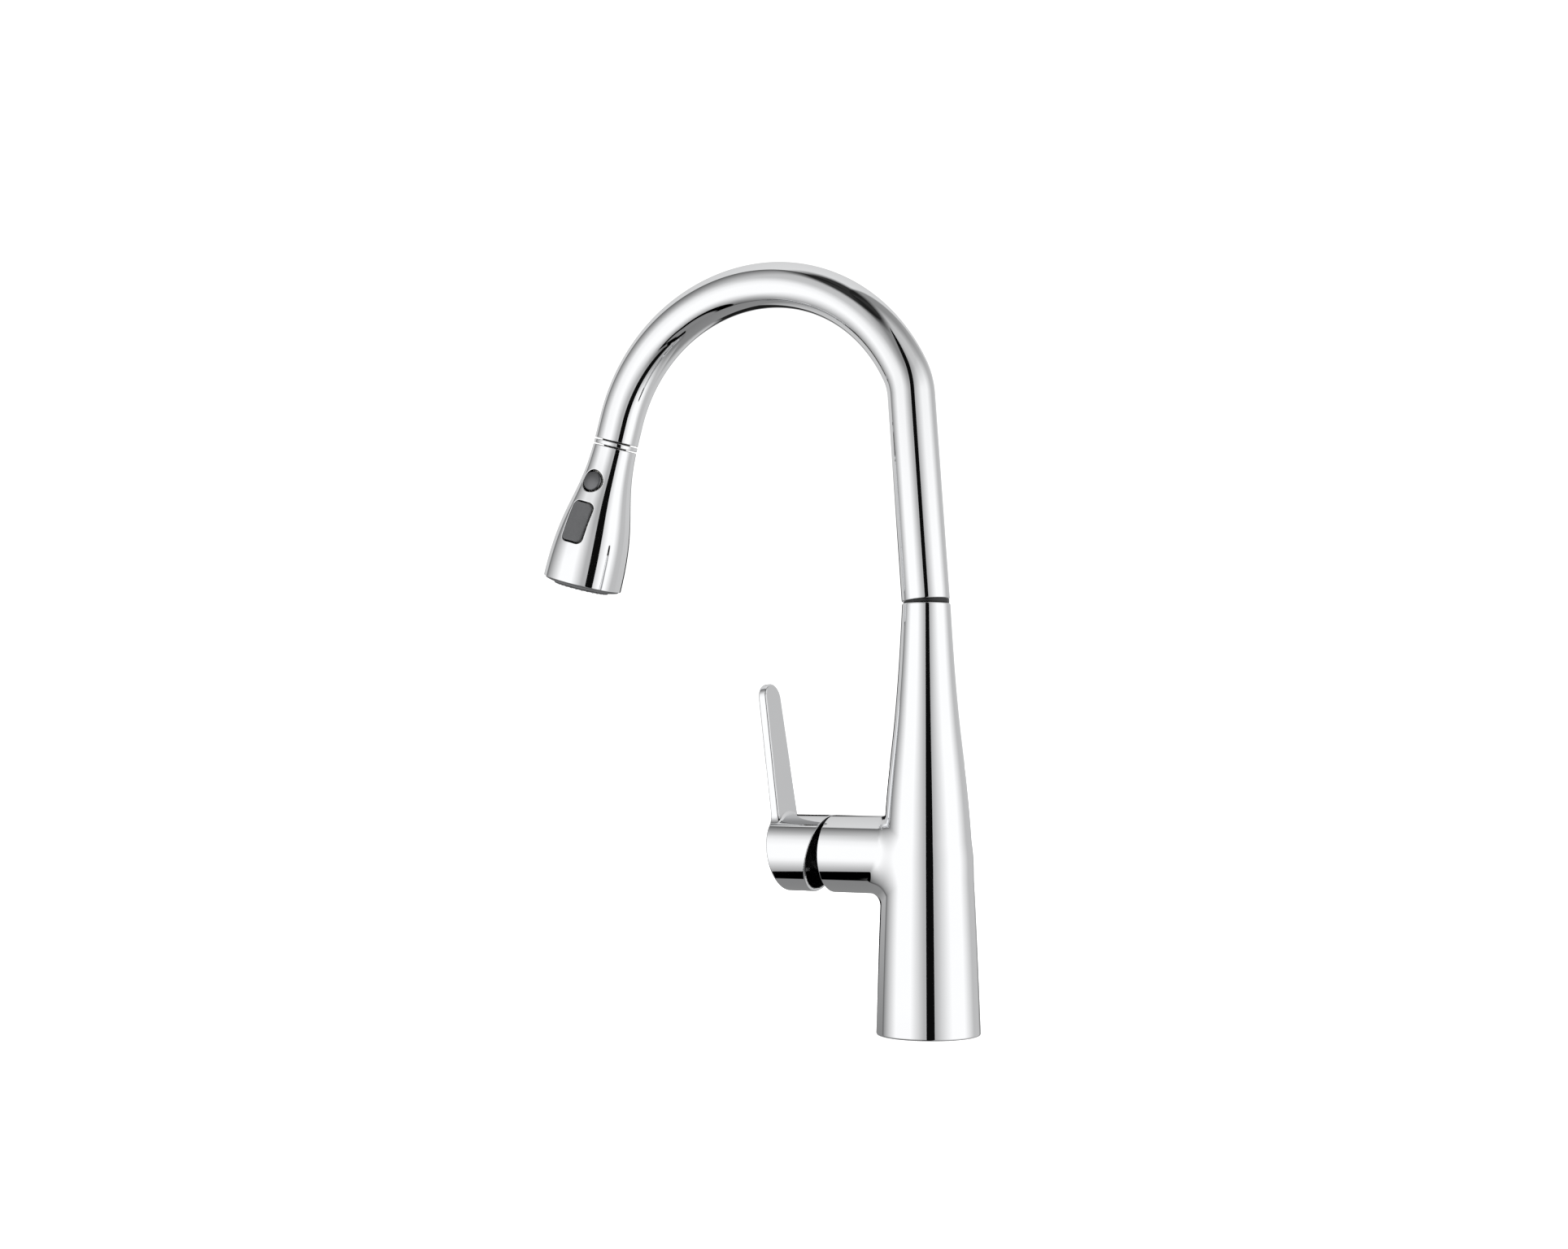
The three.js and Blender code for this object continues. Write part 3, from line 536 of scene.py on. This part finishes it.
def hose():
    """The pull-out hose: what stays in the spout, and the end that draws out with the head."""
    split = LINE_LENGTH - HOSE_TAIL_TOP
    riser = np.linspace(HOSE_FOOT_Z - NECK_START_Z, 0, 12, endpoint=False)
    run = hose_piece("hose_run", np.concatenate([riser, np.linspace(0, split - GAP, 110)]))
    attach(run, "spout")
    tail = hose_piece("hose_tail", np.linspace(split, LINE_LENGTH + HOSE_TAIL_END, 70))
    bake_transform(tail)


hose()

# ---------------------------------------------------------------- body
BODY_RADII, BODY_HEIGHTS = bezier(BODY_CURVE)


def body_field(x, y, z):
    """The column with its side valve housing, hollowed, and drilled for the waterways."""
    u, h = -y, z - VALVE_Z
    r, w = np.hypot(x, y), np.hypot(x, z - VALVE_Z)
    column = r - np.interp(z, BODY_HEIGHTS, BODY_RADII)
    column = round_cut(column, z - BODY_TOP, 0.8)
    column = round_cut(column, -z, 0.9)
    housing = np.hypot(w, np.minimum(u, 0)) - HOUSING_R
    housing = round_cut(housing, u - HOUSING_END, 0.5)
    fillet = FILLET_MEAN - FILLET_SWING * np.clip(h / HOUSING_R, -1, 1)
    solid = round_join(column, housing, fillet)
    holes = [
        np.maximum(r - CAVITY_R, z - CAVITY_TOP),
        np.maximum(r - PASSAGE_R, PASSAGE_FLOOR - z),
        np.maximum(r - BEARING_R, BEARING_FLOOR - z),
        np.maximum(r - LOCK_GROOVE_R, np.maximum(LOCK_GROOVE_LOW - z, z - LOCK_GROOVE_HIGH)),
    ]
    for port_x, out, rise in PORTS:
        d = np.hypot(x - port_x, u - out)
        holes.append(np.maximum(d - SOCKET_R, np.maximum(PORT_FLOOR - z, z - SOCKET_TOP)))
        holes.append(np.maximum(d - WATERWAY_R, np.maximum(PORT_FLOOR - z, z - rise - WATERWAY_R)))
        across = np.hypot(x - port_x, z - rise) - WATERWAY_R
        holes.append(np.maximum(across, np.maximum(out - u, u - VALVE_FLOOR - 1)))
    for hole in holes:
        solid = np.maximum(solid, -hole)
    bore = np.maximum(w - VALVE_BORE, VALVE_FLOOR - u)
    return round_cut(solid, -bore, 0.3)


def valve_bore_painted_shade(x, y, z):
    """The body's faces in the bore that takes the cartridge, painted black as shade."""
    return (np.hypot(x, z - VALVE_Z) < VALVE_BORE + 0.3) & (-y > VALVE_FLOOR - 1) & (-y < HOUSING_END + 0.1)


field_piece("body_shell", "body", body_field, [
    span((-27.9, 27.9, 0.9)),
    span((-55, -53.2, 0.2), (-53.2, 27.9, 0.9)),
    span((-0.6, 1.8, 0.3), (1.8, 218.4, 1.1), (218.4, 221.1, 0.25)),
], dark=valve_bore_painted_shade)

turned_piece("base_gasket", "body", soften([
    (16.5, 0, 0.5), (CAVITY_R - GAP, 0, 0.5), (CAVITY_R - GAP, 2.7, 0.5), (16.5, 2.7, 0.5),
]))
turned_piece("shank_socket", "body", soften([
    (15.5, 3, 0.6), (CAVITY_R - GAP, 3, 0.6), (CAVITY_R - GAP, 16, 0.6), (15.5, 16, 0.6),
]))

# ---------------------------------------------------------------- valve's visible end
def bonnet_profile():
    """A dome ring about the lever's tilt centre."""
    mouth, throat, foot, shoulder_r = 12.8, 15.4, 49.8, 17.4
    outer = np.linspace(math.asin(shoulder_r / BONNET_OUTER), math.asin(mouth / BONNET_OUTER), 14)
    inner = np.linspace(math.asin(mouth / BONNET_INNER), math.asin(throat / BONNET_INNER), 6)
    profile = [(throat, foot), (shoulder_r, foot)]
    profile += [(BONNET_OUTER * math.sin(a), PIVOT_U + BONNET_OUTER * math.cos(a)) for a in outer]
    profile += [(BONNET_INNER * math.sin(a), PIVOT_U + BONNET_INNER * math.cos(a)) for a in inner]
    return profile


turned_piece("bonnet", "body", bonnet_profile(), VALVE)

# ---------------------------------------------------------------- lever
EDGE_TILT = math.atan2(HUB_NEAR_BOTTOM - HUB_NEAR_TOP, 2 * HOUSING_R)
EDGE_MIDDLE = (HUB_NEAR_BOTTOM + HUB_NEAR_TOP) / 2


def lever_field(x, y, u):
    """The lever in the valve's frame: a round hub with a slanted near edge, and a tapered blade."""
    hub = np.hypot(x, y) - HOUSING_R
    near_edge = (u - EDGE_MIDDLE) * math.cos(EDGE_TILT) + y * math.sin(EDGE_TILT)
    hub = round_cut(hub, -near_edge, 0.5)
    depth = (u - HUB_END) * math.cos(END_LEAN) - y * math.sin(END_LEAN)
    rise = y * math.cos(END_LEAN) + (u - HUB_END) * math.sin(END_LEAN)
    tip_r = BLADE_TIP_W / 2
    tip_centre = BLADE_TOP / math.cos(END_LEAN) - tip_r
    half_width = BLADE_ROOT_W / 2 + (tip_r - BLADE_ROOT_W / 2) * np.clip(rise / tip_centre, 0, 1)
    outline = np.where(rise < tip_centre, np.abs(x) - half_width, np.hypot(x, rise - tip_centre) - tip_r)
    outline = np.maximum(outline, -rise)
    blade = round_cut(outline, -BLADE_THICKNESS - depth, 1.2)
    solid = round_cut(round_join(hub, blade, 2.5), depth, 1.2)
    cup = np.maximum(np.hypot(x, y) - HOUSING_R + HUB_WALL, u - HUB_FLOOR)
    boss = np.maximum(np.hypot(x, y) - BOSS_R, BOSS_FACE - u)
    solid = round_cut(solid, -np.maximum(cup, -boss), 0.4)
    stem_hole = np.maximum(np.maximum(np.abs(x), np.abs(y)) - STEM_HOLE_HALF, u - STEM_HOLE_END)
    solid = np.maximum(solid, -stem_hole)
    screw_hole = np.maximum(np.hypot(x, u - SET_SCREW_AT) - SET_SCREW_HOLE_R, y + 3)
    return round_cut(solid, -screw_hole, 0.3)


def hub_cup_painted_shade(x, y, u):
    """The faces inside the lever's hub, painted black as shade."""
    return (np.hypot(x, y) < HOUSING_R - 1.4) & (u < 80.6)


field_piece("lever_handle", "lever", lever_field, [
    span((-20.7, 20.7, 0.45)),
    span((-20.7, 21.3, 0.45), (21.3, 90.3, 0.5)),
    span((54.4, 98.6, 0.4)),
], VALVE, dark=hub_cup_painted_shade)
turned_piece("set_screw_plug", "lever", soften([
    (0, 18.4, 0), (2.5, 18.4, 0.2), (2.5, 20, 0.4), (0, 20, 0),
]), VALVE @ Matrix.Translation((0, 0, SET_SCREW_AT)) @ Matrix.Rotation(math.pi / 2, 4, "X"), sides=40)


# ---------------------------------------------------------------- swivel and spout
def head_view(x, y, z):
    """World coordinates as the distance from the head's axis and the height above its frame."""
    back = np.array(HEAD.inverted())
    u, v, w = (back[i, 0] * x + back[i, 1] * y + back[i, 2] * z + back[i, 3] for i in range(3))
    return np.hypot(u, v), w


def adapter_field(x, y, z):
    """The spigot that turns in the body, its shoulder, and the plug that leans with the tube."""
    lean = math.radians(LEAN)
    along = -y * math.sin(lean) + (z - NECK_START_Z) * math.cos(lean)
    off = np.hypot(x, y * math.cos(lean) + (z - NECK_START_Z) * math.sin(lean))
    r = np.hypot(x, y)
    plug = np.maximum(TUBE_FOOT - GAP - along, along - TUBE_FOOT - PLUG_LENGTH)
    plug = np.maximum(off - TUBE_BORE + GAP, plug)
    spigot = np.maximum(r - SPIGOT_R, np.maximum(SPIGOT_LOW - z, z - SPIGOT_HIGH))
    shoulder = np.maximum(r - TUBE_R + 0.6, np.maximum(BODY_TOP + GAP - z, along - TUBE_FOOT + GAP))
    solid = np.minimum(np.minimum(plug, spigot), shoulder)
    solid = np.maximum(solid, -np.maximum(r - ADAPTER_BORE, z - ADAPTER_BORE_TOP))
    solid = np.maximum(solid, -np.maximum(off - ADAPTER_BORE, -along))
    for middle, half, floor in ADAPTER_GROOVES:
        solid = np.maximum(solid, -np.maximum(np.abs(z - middle) - half, floor - r))
    return solid


field_piece("swivel_adapter", "spout", adapter_field, [
    span((-12.4, 12.4, 0.4)), span((-14.2, 12.4, 0.4)), span((192.4, 220, 0.5), (220, 237, 0.25)),
], look="black_plastic")


def tube_profile():
    """The tube's wall as a closed profile along the spout line, with small round lips."""
    lip, steps = 0.45, 5
    first, last = TUBE_FOOT, LINE_LENGTH
    arc = np.linspace(0, math.pi / 2, steps + 1)
    rows = [(TUBE_R - lip + lip * math.sin(a), first + lip - lip * math.cos(a)) for a in arc]
    middle = np.concatenate([
        np.linspace(first + lip, NECK_LENGTH, 24)[1:],
        np.linspace(NECK_LENGTH, LINE_LENGTH - TAIL_LENGTH, 150)[1:],
        np.linspace(LINE_LENGTH - TAIL_LENGTH, last - lip, 6)[1:-1],
    ])
    rows += [(TUBE_R, s) for s in middle]
    rows += [(TUBE_R - lip + lip * math.cos(a), last - lip + lip * math.sin(a)) for a in arc]
    inner = np.concatenate([[last], middle[::-3], [first]])
    rows += [(TUBE_BORE, s) for s in inner]
    return rows


def tube_mouth_painted_shade(x, y, z):
    """The tube's faces just inside its head end, painted black as shade."""
    r, end = head_view(x, y, z)
    return (r < TUBE_R - 0.3) & (np.abs(end) < 3)


def collar_bore_painted_shade(x, y, _z):
    """The collar's bore, painted black as shade."""
    return np.hypot(x, y) < TUBE_R - 0.3


tube = turned_piece("spout_tube", "spout", tube_profile(), path=spout_line, dark=tube_mouth_painted_shade)
tube.visible_glossy = False

turned_piece("dock_collar", "hose_end", soften([
    (COLLAR_BORE, COLLAR_LOW, 0.2), (TUBE_R, COLLAR_LOW, 0.4), (TUBE_R, COLLAR_HIGH, 0.4),
    (COLLAR_NECK_R, COLLAR_HIGH, 0), (COLLAR_NECK_R, COLLAR_TOP, 0.3), (COLLAR_BORE, COLLAR_TOP, 0.3),
]), HEAD, dark=collar_bore_painted_shade)

# ---------------------------------------------------------------- spray head
HEAD_RADII, HEAD_DROPS = bezier(HEAD_CURVE)


def side_view(place, x, y, z):
    """Head coordinates turned into those of a frame on the head's side."""
    back = np.array((HEAD.inverted() @ place).inverted())
    return tuple(back[i, 0] * x + back[i, 1] * y + back[i, 2] * z + back[i, 3] for i in range(3))


def shell_field(x, y, z):
    """The head's hollow shell, thinner at the mouth, with its two button openings."""
    r, drop = np.hypot(x, y), HEAD_TOP - z
    outside = np.interp(drop, HEAD_DROPS, HEAD_RADII)
    solid = round_cut(r - outside, z - HEAD_TOP, 0.35)
    solid = round_cut(solid, FACE_Z - z, 0.35)
    inside = np.where(drop > HEAD_LENGTH - MOUTH_DEPTH, HEAD_MOUTH_R - MOUTH_WALL, outside - HEAD_WALL)
    solid = np.maximum(solid, inside - r)
    px, py, pz = side_view(PAUSE_FRAME, x, y, z)
    window = np.hypot(py, pz) - PAUSE_R - BUTTON_GAP
    solid = round_cut(solid, -np.maximum(window, np.abs(px) - OPENING_REACH), 0.5)
    mx, my, mz = side_view(MODE_FRAME, x, y, z)
    window = rounded_box(mz, my, ROCKER_L / 2, ROCKER_W / 2, ROCKER_CORNER) - BUTTON_GAP
    return round_cut(solid, -np.maximum(window, np.abs(mx) - OPENING_REACH), 0.5)


def shell_inside_painted_shade(x, y, z):
    """The shell's inner faces, with the walls of the two button openings, painted black as shade."""
    outside = np.interp(HEAD_TOP - z, HEAD_DROPS, HEAD_RADII)
    return (np.hypot(x, y) < outside - 0.5) & (z > FACE_Z + 0.5)


field_piece("head_shell", "spray_head", shell_field, [
    span((-23.1, 7.5, 0.5), (7.5, 23.1, 0.4)),
    span((-23.1, -9.3, 0.5), (-9.3, 9.3, 0.4), (9.3, 23.1, 0.5)),
    span((FACE_Z - 0.6, FACE_Z + 1.2, 0.2), (FACE_Z + 1.2, -68, 0.8), (-68, -15, 0.4),
         (-15, HEAD_TOP - 0.8, 0.8), (HEAD_TOP - 0.8, HEAD_TOP + 0.6, 0.2)),
], HEAD, dark=shell_inside_painted_shade)


def pause_field(x, y, z):
    """The round button: a domed cap with a pocket behind it, and a stem."""
    r = np.hypot(y, z)
    dome = hypot3(x + PAUSE_DOME_R - PAUSE_DOME_TOP, y, z) - PAUSE_DOME_R
    cap = round_cut(np.maximum(r - PAUSE_R + 0.2, -PAUSE_SKIRT - x), dome, 0.8)
    stem = np.maximum(r - PAUSE_STEM_R, np.maximum(-PAUSE_STEM_END - x, x + 0.5))
    pocket = np.maximum(r - PAUSE_POCKET_R, x + 0.7)
    return np.minimum(np.maximum(cap, -pocket), stem)


field_piece("pause_button", "pause_control", pause_field, [
    span((-11.3, -2.1, 0.4), (-2.1, 1.1, 0.2)), span((-6.6, 6.6, 0.3)), span((-6.6, 6.6, 0.3)),
], PAUSE_FRAME, look="dark_grey_plastic")


def rocker_field(x, y, z):
    """The long rocker: a creased plate, the lug that its pin goes through, and a finger."""
    outline = rounded_box(z, y, ROCKER_L / 2 - 0.1, ROCKER_W / 2 - 0.1, ROCKER_CORNER)
    crease = np.hypot(z - 1.5, 1.2) - 1.2
    face = ROCKER_PROUD - ROCKER_DISH + ROCKER_CREASE * crease - ROCKER_CROWN * y * y
    plate = round_cut(np.maximum(outline, -2.3 - x), x - face, 0.45)
    lug = np.maximum(np.maximum(np.abs(y) - 3.5, np.abs(z) - 2), np.maximum(-6.4 - x, x + 2))
    finger = np.maximum(np.maximum(np.abs(y), np.abs(z)) - 1.2, np.maximum(-17.6 - x, x + 6))
    pin_hole = np.hypot(x - ROCKER_PIVOT, z) - 1.15
    return np.maximum(np.minimum(np.minimum(plate, lug), finger), -pin_hole)


field_piece("mode_rocker", "mode_control", rocker_field, [
    span((-18, -2.6, 0.4), (-2.6, 0.9, 0.2)), span((-7, 7, 0.3)), span((-11.9, 11.9, 0.3)),
], MODE_FRAME)


def face_profile():
    """The grey outlet face: a shallow dome round the disc of nozzles."""
    top, low = FACE_Z + 5.5, FACE_Z - FACE_BULGE
    rows = [(FACE_INNER_R, top), (FACE_INNER_R, low), (PAD_R, low)]
    for t in np.linspace(0, 1, 14):
        r = PAD_R + 0.4 + (FACE_OUTER_R - 0.3 - PAD_R - 0.4) * t
        rows.append((r, low + (FACE_BULGE - FACE_RIM_BULGE) * t ** 1.6))
    rows += [(FACE_OUTER_R - 0.08, FACE_Z - FACE_RIM_BULGE + 0.2), (FACE_OUTER_R, FACE_Z - 0.4)]
    rows += [(FACE_OUTER_R, top)]
    return rows


turned_piece("spray_face", "spray_head", face_profile(), HEAD)


def nozzle_pad():
    """A silicone disc carrying rings of small round nozzles."""
    low, high = FACE_Z - PAD_BULGE + 0.25, FACE_Z - FACE_BULGE - GAP
    disc = soften([
        (FACE_INNER_R, low, 0.15), (PAD_R, low, 0.3), (PAD_R, high, 0.05), (FACE_INNER_R, high, 0.05),
    ])
    parts = [revolve(disc)]
    tip = low - 0.25
    nub = soften([(0.25, tip, 0.05), (0.55, tip, 0.1), (0.75, low + 0.2, 0), (0.25, low + 0.2, 0)], 3)
    for radius, count in NOZZLE_RINGS:
        for k in range(count):
            angle = 2 * math.pi * (k + 0.5 * (count % 4 == 2)) / count
            points, faces, normals = revolve(nub, sides=10)
            points = points + np.array([radius * math.cos(angle), radius * math.sin(angle), 0])
            parts.append((points, faces, normals))
    points, faces, normals, shift = [], [], [], 0
    for part_points, part_faces, part_normals in parts:
        faces += [tuple(v + shift for v in face) for face in part_faces]
        points.append(part_points)
        normals.append(part_normals)
        shift += len(part_points)
    piece("nozzle_pad", ["nozzle_pad"], "spray_head", np.concatenate(points), faces, HEAD,
          corner_normals=np.concatenate(normals))


nozzle_pad()
turned_piece("aerator_housing", "spray_head", soften([
    (AERATOR_BORE, FACE_Z - FACE_BULGE, 0.3), (AERATOR_R, FACE_Z - FACE_BULGE, 0.4),
    (AERATOR_R, FACE_Z + AERATOR_DEPTH, 0.2), (AERATOR_BORE, FACE_Z + AERATOR_DEPTH, 0.2),
]), HEAD)


# ---------------------------------------------------------------- CAD pieces that stay, with better finishes, and the lever stem painted black as shade
for name, node in frame["nodes"].items():
    if not node.hide_render:
        for material_slot in node.material_slots:
            # The lever stem gets black plastic: painted shade where it shows between the lever's boss and
            # the bonnet.
            finish_or_painted_shade = "black_plastic" if name == "lever_stem" else SLOTS[name]
            material_slot.material = MATERIALS[finish_or_painted_shade]

# ---------------------------------------------------------------- studio
DOME_CENTRE, DOME_R = Vector((0.19, -0.03, 0.13)), 0.62
CARD_EDGES = (0.445, -0.065), (0.225, 0.035)


def stage_mesh(name, mesh, material):
    """Something of the studio's that only reflections see."""
    obj = bpy.data.objects.new(name, mesh)
    bpy.context.scene.collection.objects.link(obj)
    mesh.materials.append(material)
    for rays in ("camera", "diffuse", "shadow", "transmission", "volume_scatter"):
        setattr(obj, "visible_" + rays, False)
    return obj


def glowing(name):
    """An emission material that isn't sampled as a lamp, with its nodes."""
    material = bpy.data.materials.new(name)
    material.use_nodes = True
    material.cycles.emission_sampling = "NONE"
    return material, Nodes(material.node_tree)


def dome_light(nodes):
    """Brightness over the dome, from the angles round it (0 at the front, + to the right) and up it."""
    place = nodes.add("ShaderNodeTexCoord").outputs["Object"]
    dots = []
    for axis in (IMAGE_RIGHT, TOWARDS_CAMERA):
        dot = nodes.add("ShaderNodeVectorMath", {"operation": "DOT_PRODUCT"}, i0=place)
        dot.inputs[1].default_value = axis
        dots.append(dot.outputs["Value"])
    turn = nodes.math("ARCTAN2", dots[0], dots[1])
    around = nodes.math("ADD", nodes.math("DIVIDE", turn, 2 * math.pi), 0.5)
    height = nodes.add("ShaderNodeSeparateXYZ", Vector=place).outputs[2]
    angle = nodes.math("ARCSINE", nodes.math("DIVIDE", height, DOME_R * 1.0001))
    upward = nodes.math("ADD", nodes.math("DIVIDE", angle, math.pi), 0.5)

    def across_ramp(stops):
        return nodes.ramp(around, [((a + 180) / 360, v) for a, v in stops])

    def upward_ramp(stops):
        return nodes.ramp(upward, [((e + 90) / 180, v) for e, v in stops])

    # Round the dome: a softbox on the left, a dim front, a softbox on the right.
    panels = across_ramp([
        (-142, 0.1), (-136, 0.3), (-92, 1.0), (-46, 1.0), (-5, 0.44), (27, 0.44), (68, 1.0), (97, 1.0),
        (122, 0.5), (142, 0.5),
    ])
    # Up the dome: full at eye level, softer above and below, open and dark overhead.
    fade = upward_ramp([
        (-62, 0.36), (-50, 0.42), (-24, 0.94), (-16, 1.0), (20, 1.0), (36, 0.9), (54, 0.55), (71, 0.5),
        (78, 0.03),
    ])
    wall = upward_ramp([(-90, 0.2), (-18, 0.24), (0, 0.52), (72, 0.7), (79, 0.03)])
    # The softboxes' bottom edge, as an angle below eye level, with a black gap under it.
    edge = across_ramp([(a, -e / 90) for a, e in (
        (-150, -51), (-40, -55), (-10, -42), (0, -62), (60, -75),
    )])
    below = nodes.math("SUBTRACT", nodes.math("MULTIPLY", nodes.math("SUBTRACT", 0.5, upward), 2), edge)
    front = nodes.math("MULTIPLY", panels, fade)
    front = nodes.math("MULTIPLY", front, nodes.ramp(below, [(0.0, 1.0), (0.01, 0.0)]))
    floor_light = nodes.math("MULTIPLY", nodes.ramp(below, [(0.13, 0.0), (0.16, 1.0)]), 0.22)
    front = nodes.math("ADD", front, floor_light)
    seam = across_ramp([(-178, 0.02), (-173, 0.02), (-170, 1.0), (170, 1.0), (173, 0.02), (178, 0.02)])
    seam = nodes.math("MAXIMUM", seam, upward_ramp([(-16, 1.0), (-11, 0.0), (15, 0.0), (22, 1.0)]))
    behind = across_ramp([(-144, 1.0), (-141, 0.0), (141, 0.0), (144, 1.0)])
    rear = nodes.math("MULTIPLY", nodes.math("MULTIPLY", wall, seam), behind)
    front = nodes.math("MULTIPLY", front, nodes.math("SUBTRACT", 1.0, behind))
    return nodes.math("ADD", front, rear)


def studio():
    """Two softboxes in front, pale walls behind and a black card between, seen only in reflections.

    Their brightness was set to match the photo's reflections.
    """
    world = bpy.data.worlds.new("studio")
    bpy.context.scene.world = world
    world.use_nodes = True
    nodes = Nodes(world.node_tree)
    seen = nodes.add("ShaderNodeLightPath").outputs["Is Camera Ray"]
    light = nodes.math("MAXIMUM", nodes.math("MULTIPLY", seen, 1.2), 0.8)
    nodes.add("ShaderNodeOutputWorld", Surface=nodes.add("ShaderNodeBackground", Color=light).outputs[0])

    material, nodes = glowing("dome")
    glow = nodes.add("ShaderNodeEmission", Color=dome_light(nodes), Strength=1.08)
    nodes.add("ShaderNodeOutputMaterial", Surface=glow.outputs[0])
    shape = bmesh.new()
    bmesh.ops.create_uvsphere(shape, u_segments=96, v_segments=48, radius=DOME_R)
    mesh = bpy.data.meshes.new("dome")
    shape.to_mesh(mesh)
    shape.free()
    mesh.shade_smooth()
    stage_mesh("dome", mesh, material).location = DOME_CENTRE

    material, nodes = glowing("card")
    glow = nodes.add("ShaderNodeEmission", Color=(0.004, 0.004, 0.004, 1))
    nodes.add("ShaderNodeOutputMaterial", Surface=glow.outputs[0])
    corners = []
    for towards, right in CARD_EDGES:
        foot = TOWARDS_CAMERA * towards + IMAGE_RIGHT * right
        corners += [foot - Vector((0, 0, 0.6)), foot + Vector((0, 0, 0.9))]
    mesh = bpy.data.meshes.new("card")
    mesh.from_pydata(corners, [], [(0, 2, 3, 1)])
    stage_mesh("card", mesh, material)


studio()


def floor():
    """A plain pale floor that reflections don't see."""
    reach = 60
    mesh = bpy.data.meshes.new("floor")
    corners = [(-reach, -reach, 0), (reach, -reach, 0), (reach, reach, 0), (-reach, reach, 0)]
    mesh.from_pydata(corners, [], [(0, 1, 2, 3)])
    obj = bpy.data.objects.new("floor", mesh)
    bpy.context.scene.collection.objects.link(obj)
    material = bpy.data.materials.new("floor")
    material.use_nodes = True
    nodes = Nodes(material.node_tree)
    shader = nodes.add("ShaderNodeBsdfPrincipled", Base_Color=(0.9, 0.9, 0.9, 1), Roughness=1.0)
    shader.inputs["Specular IOR Level"].default_value = 0
    shader.inputs["Emission Color"].default_value = (1, 1, 1, 1)
    shader.inputs["Emission Strength"].default_value = 0.35
    nodes.add("ShaderNodeOutputMaterial", Surface=shader.outputs[0])
    mesh.materials.append(material)
    obj.visible_glossy = False


floor()

sun = bpy.data.objects.new("overhead", bpy.data.lights.new("overhead", "SUN"))
bpy.context.scene.collection.objects.link(sun)
sun.data.energy = 2.6
sun.data.angle = math.radians(110)
sun.visible_glossy = False

bpy.context.scene.view_settings.view_transform = "Standard"
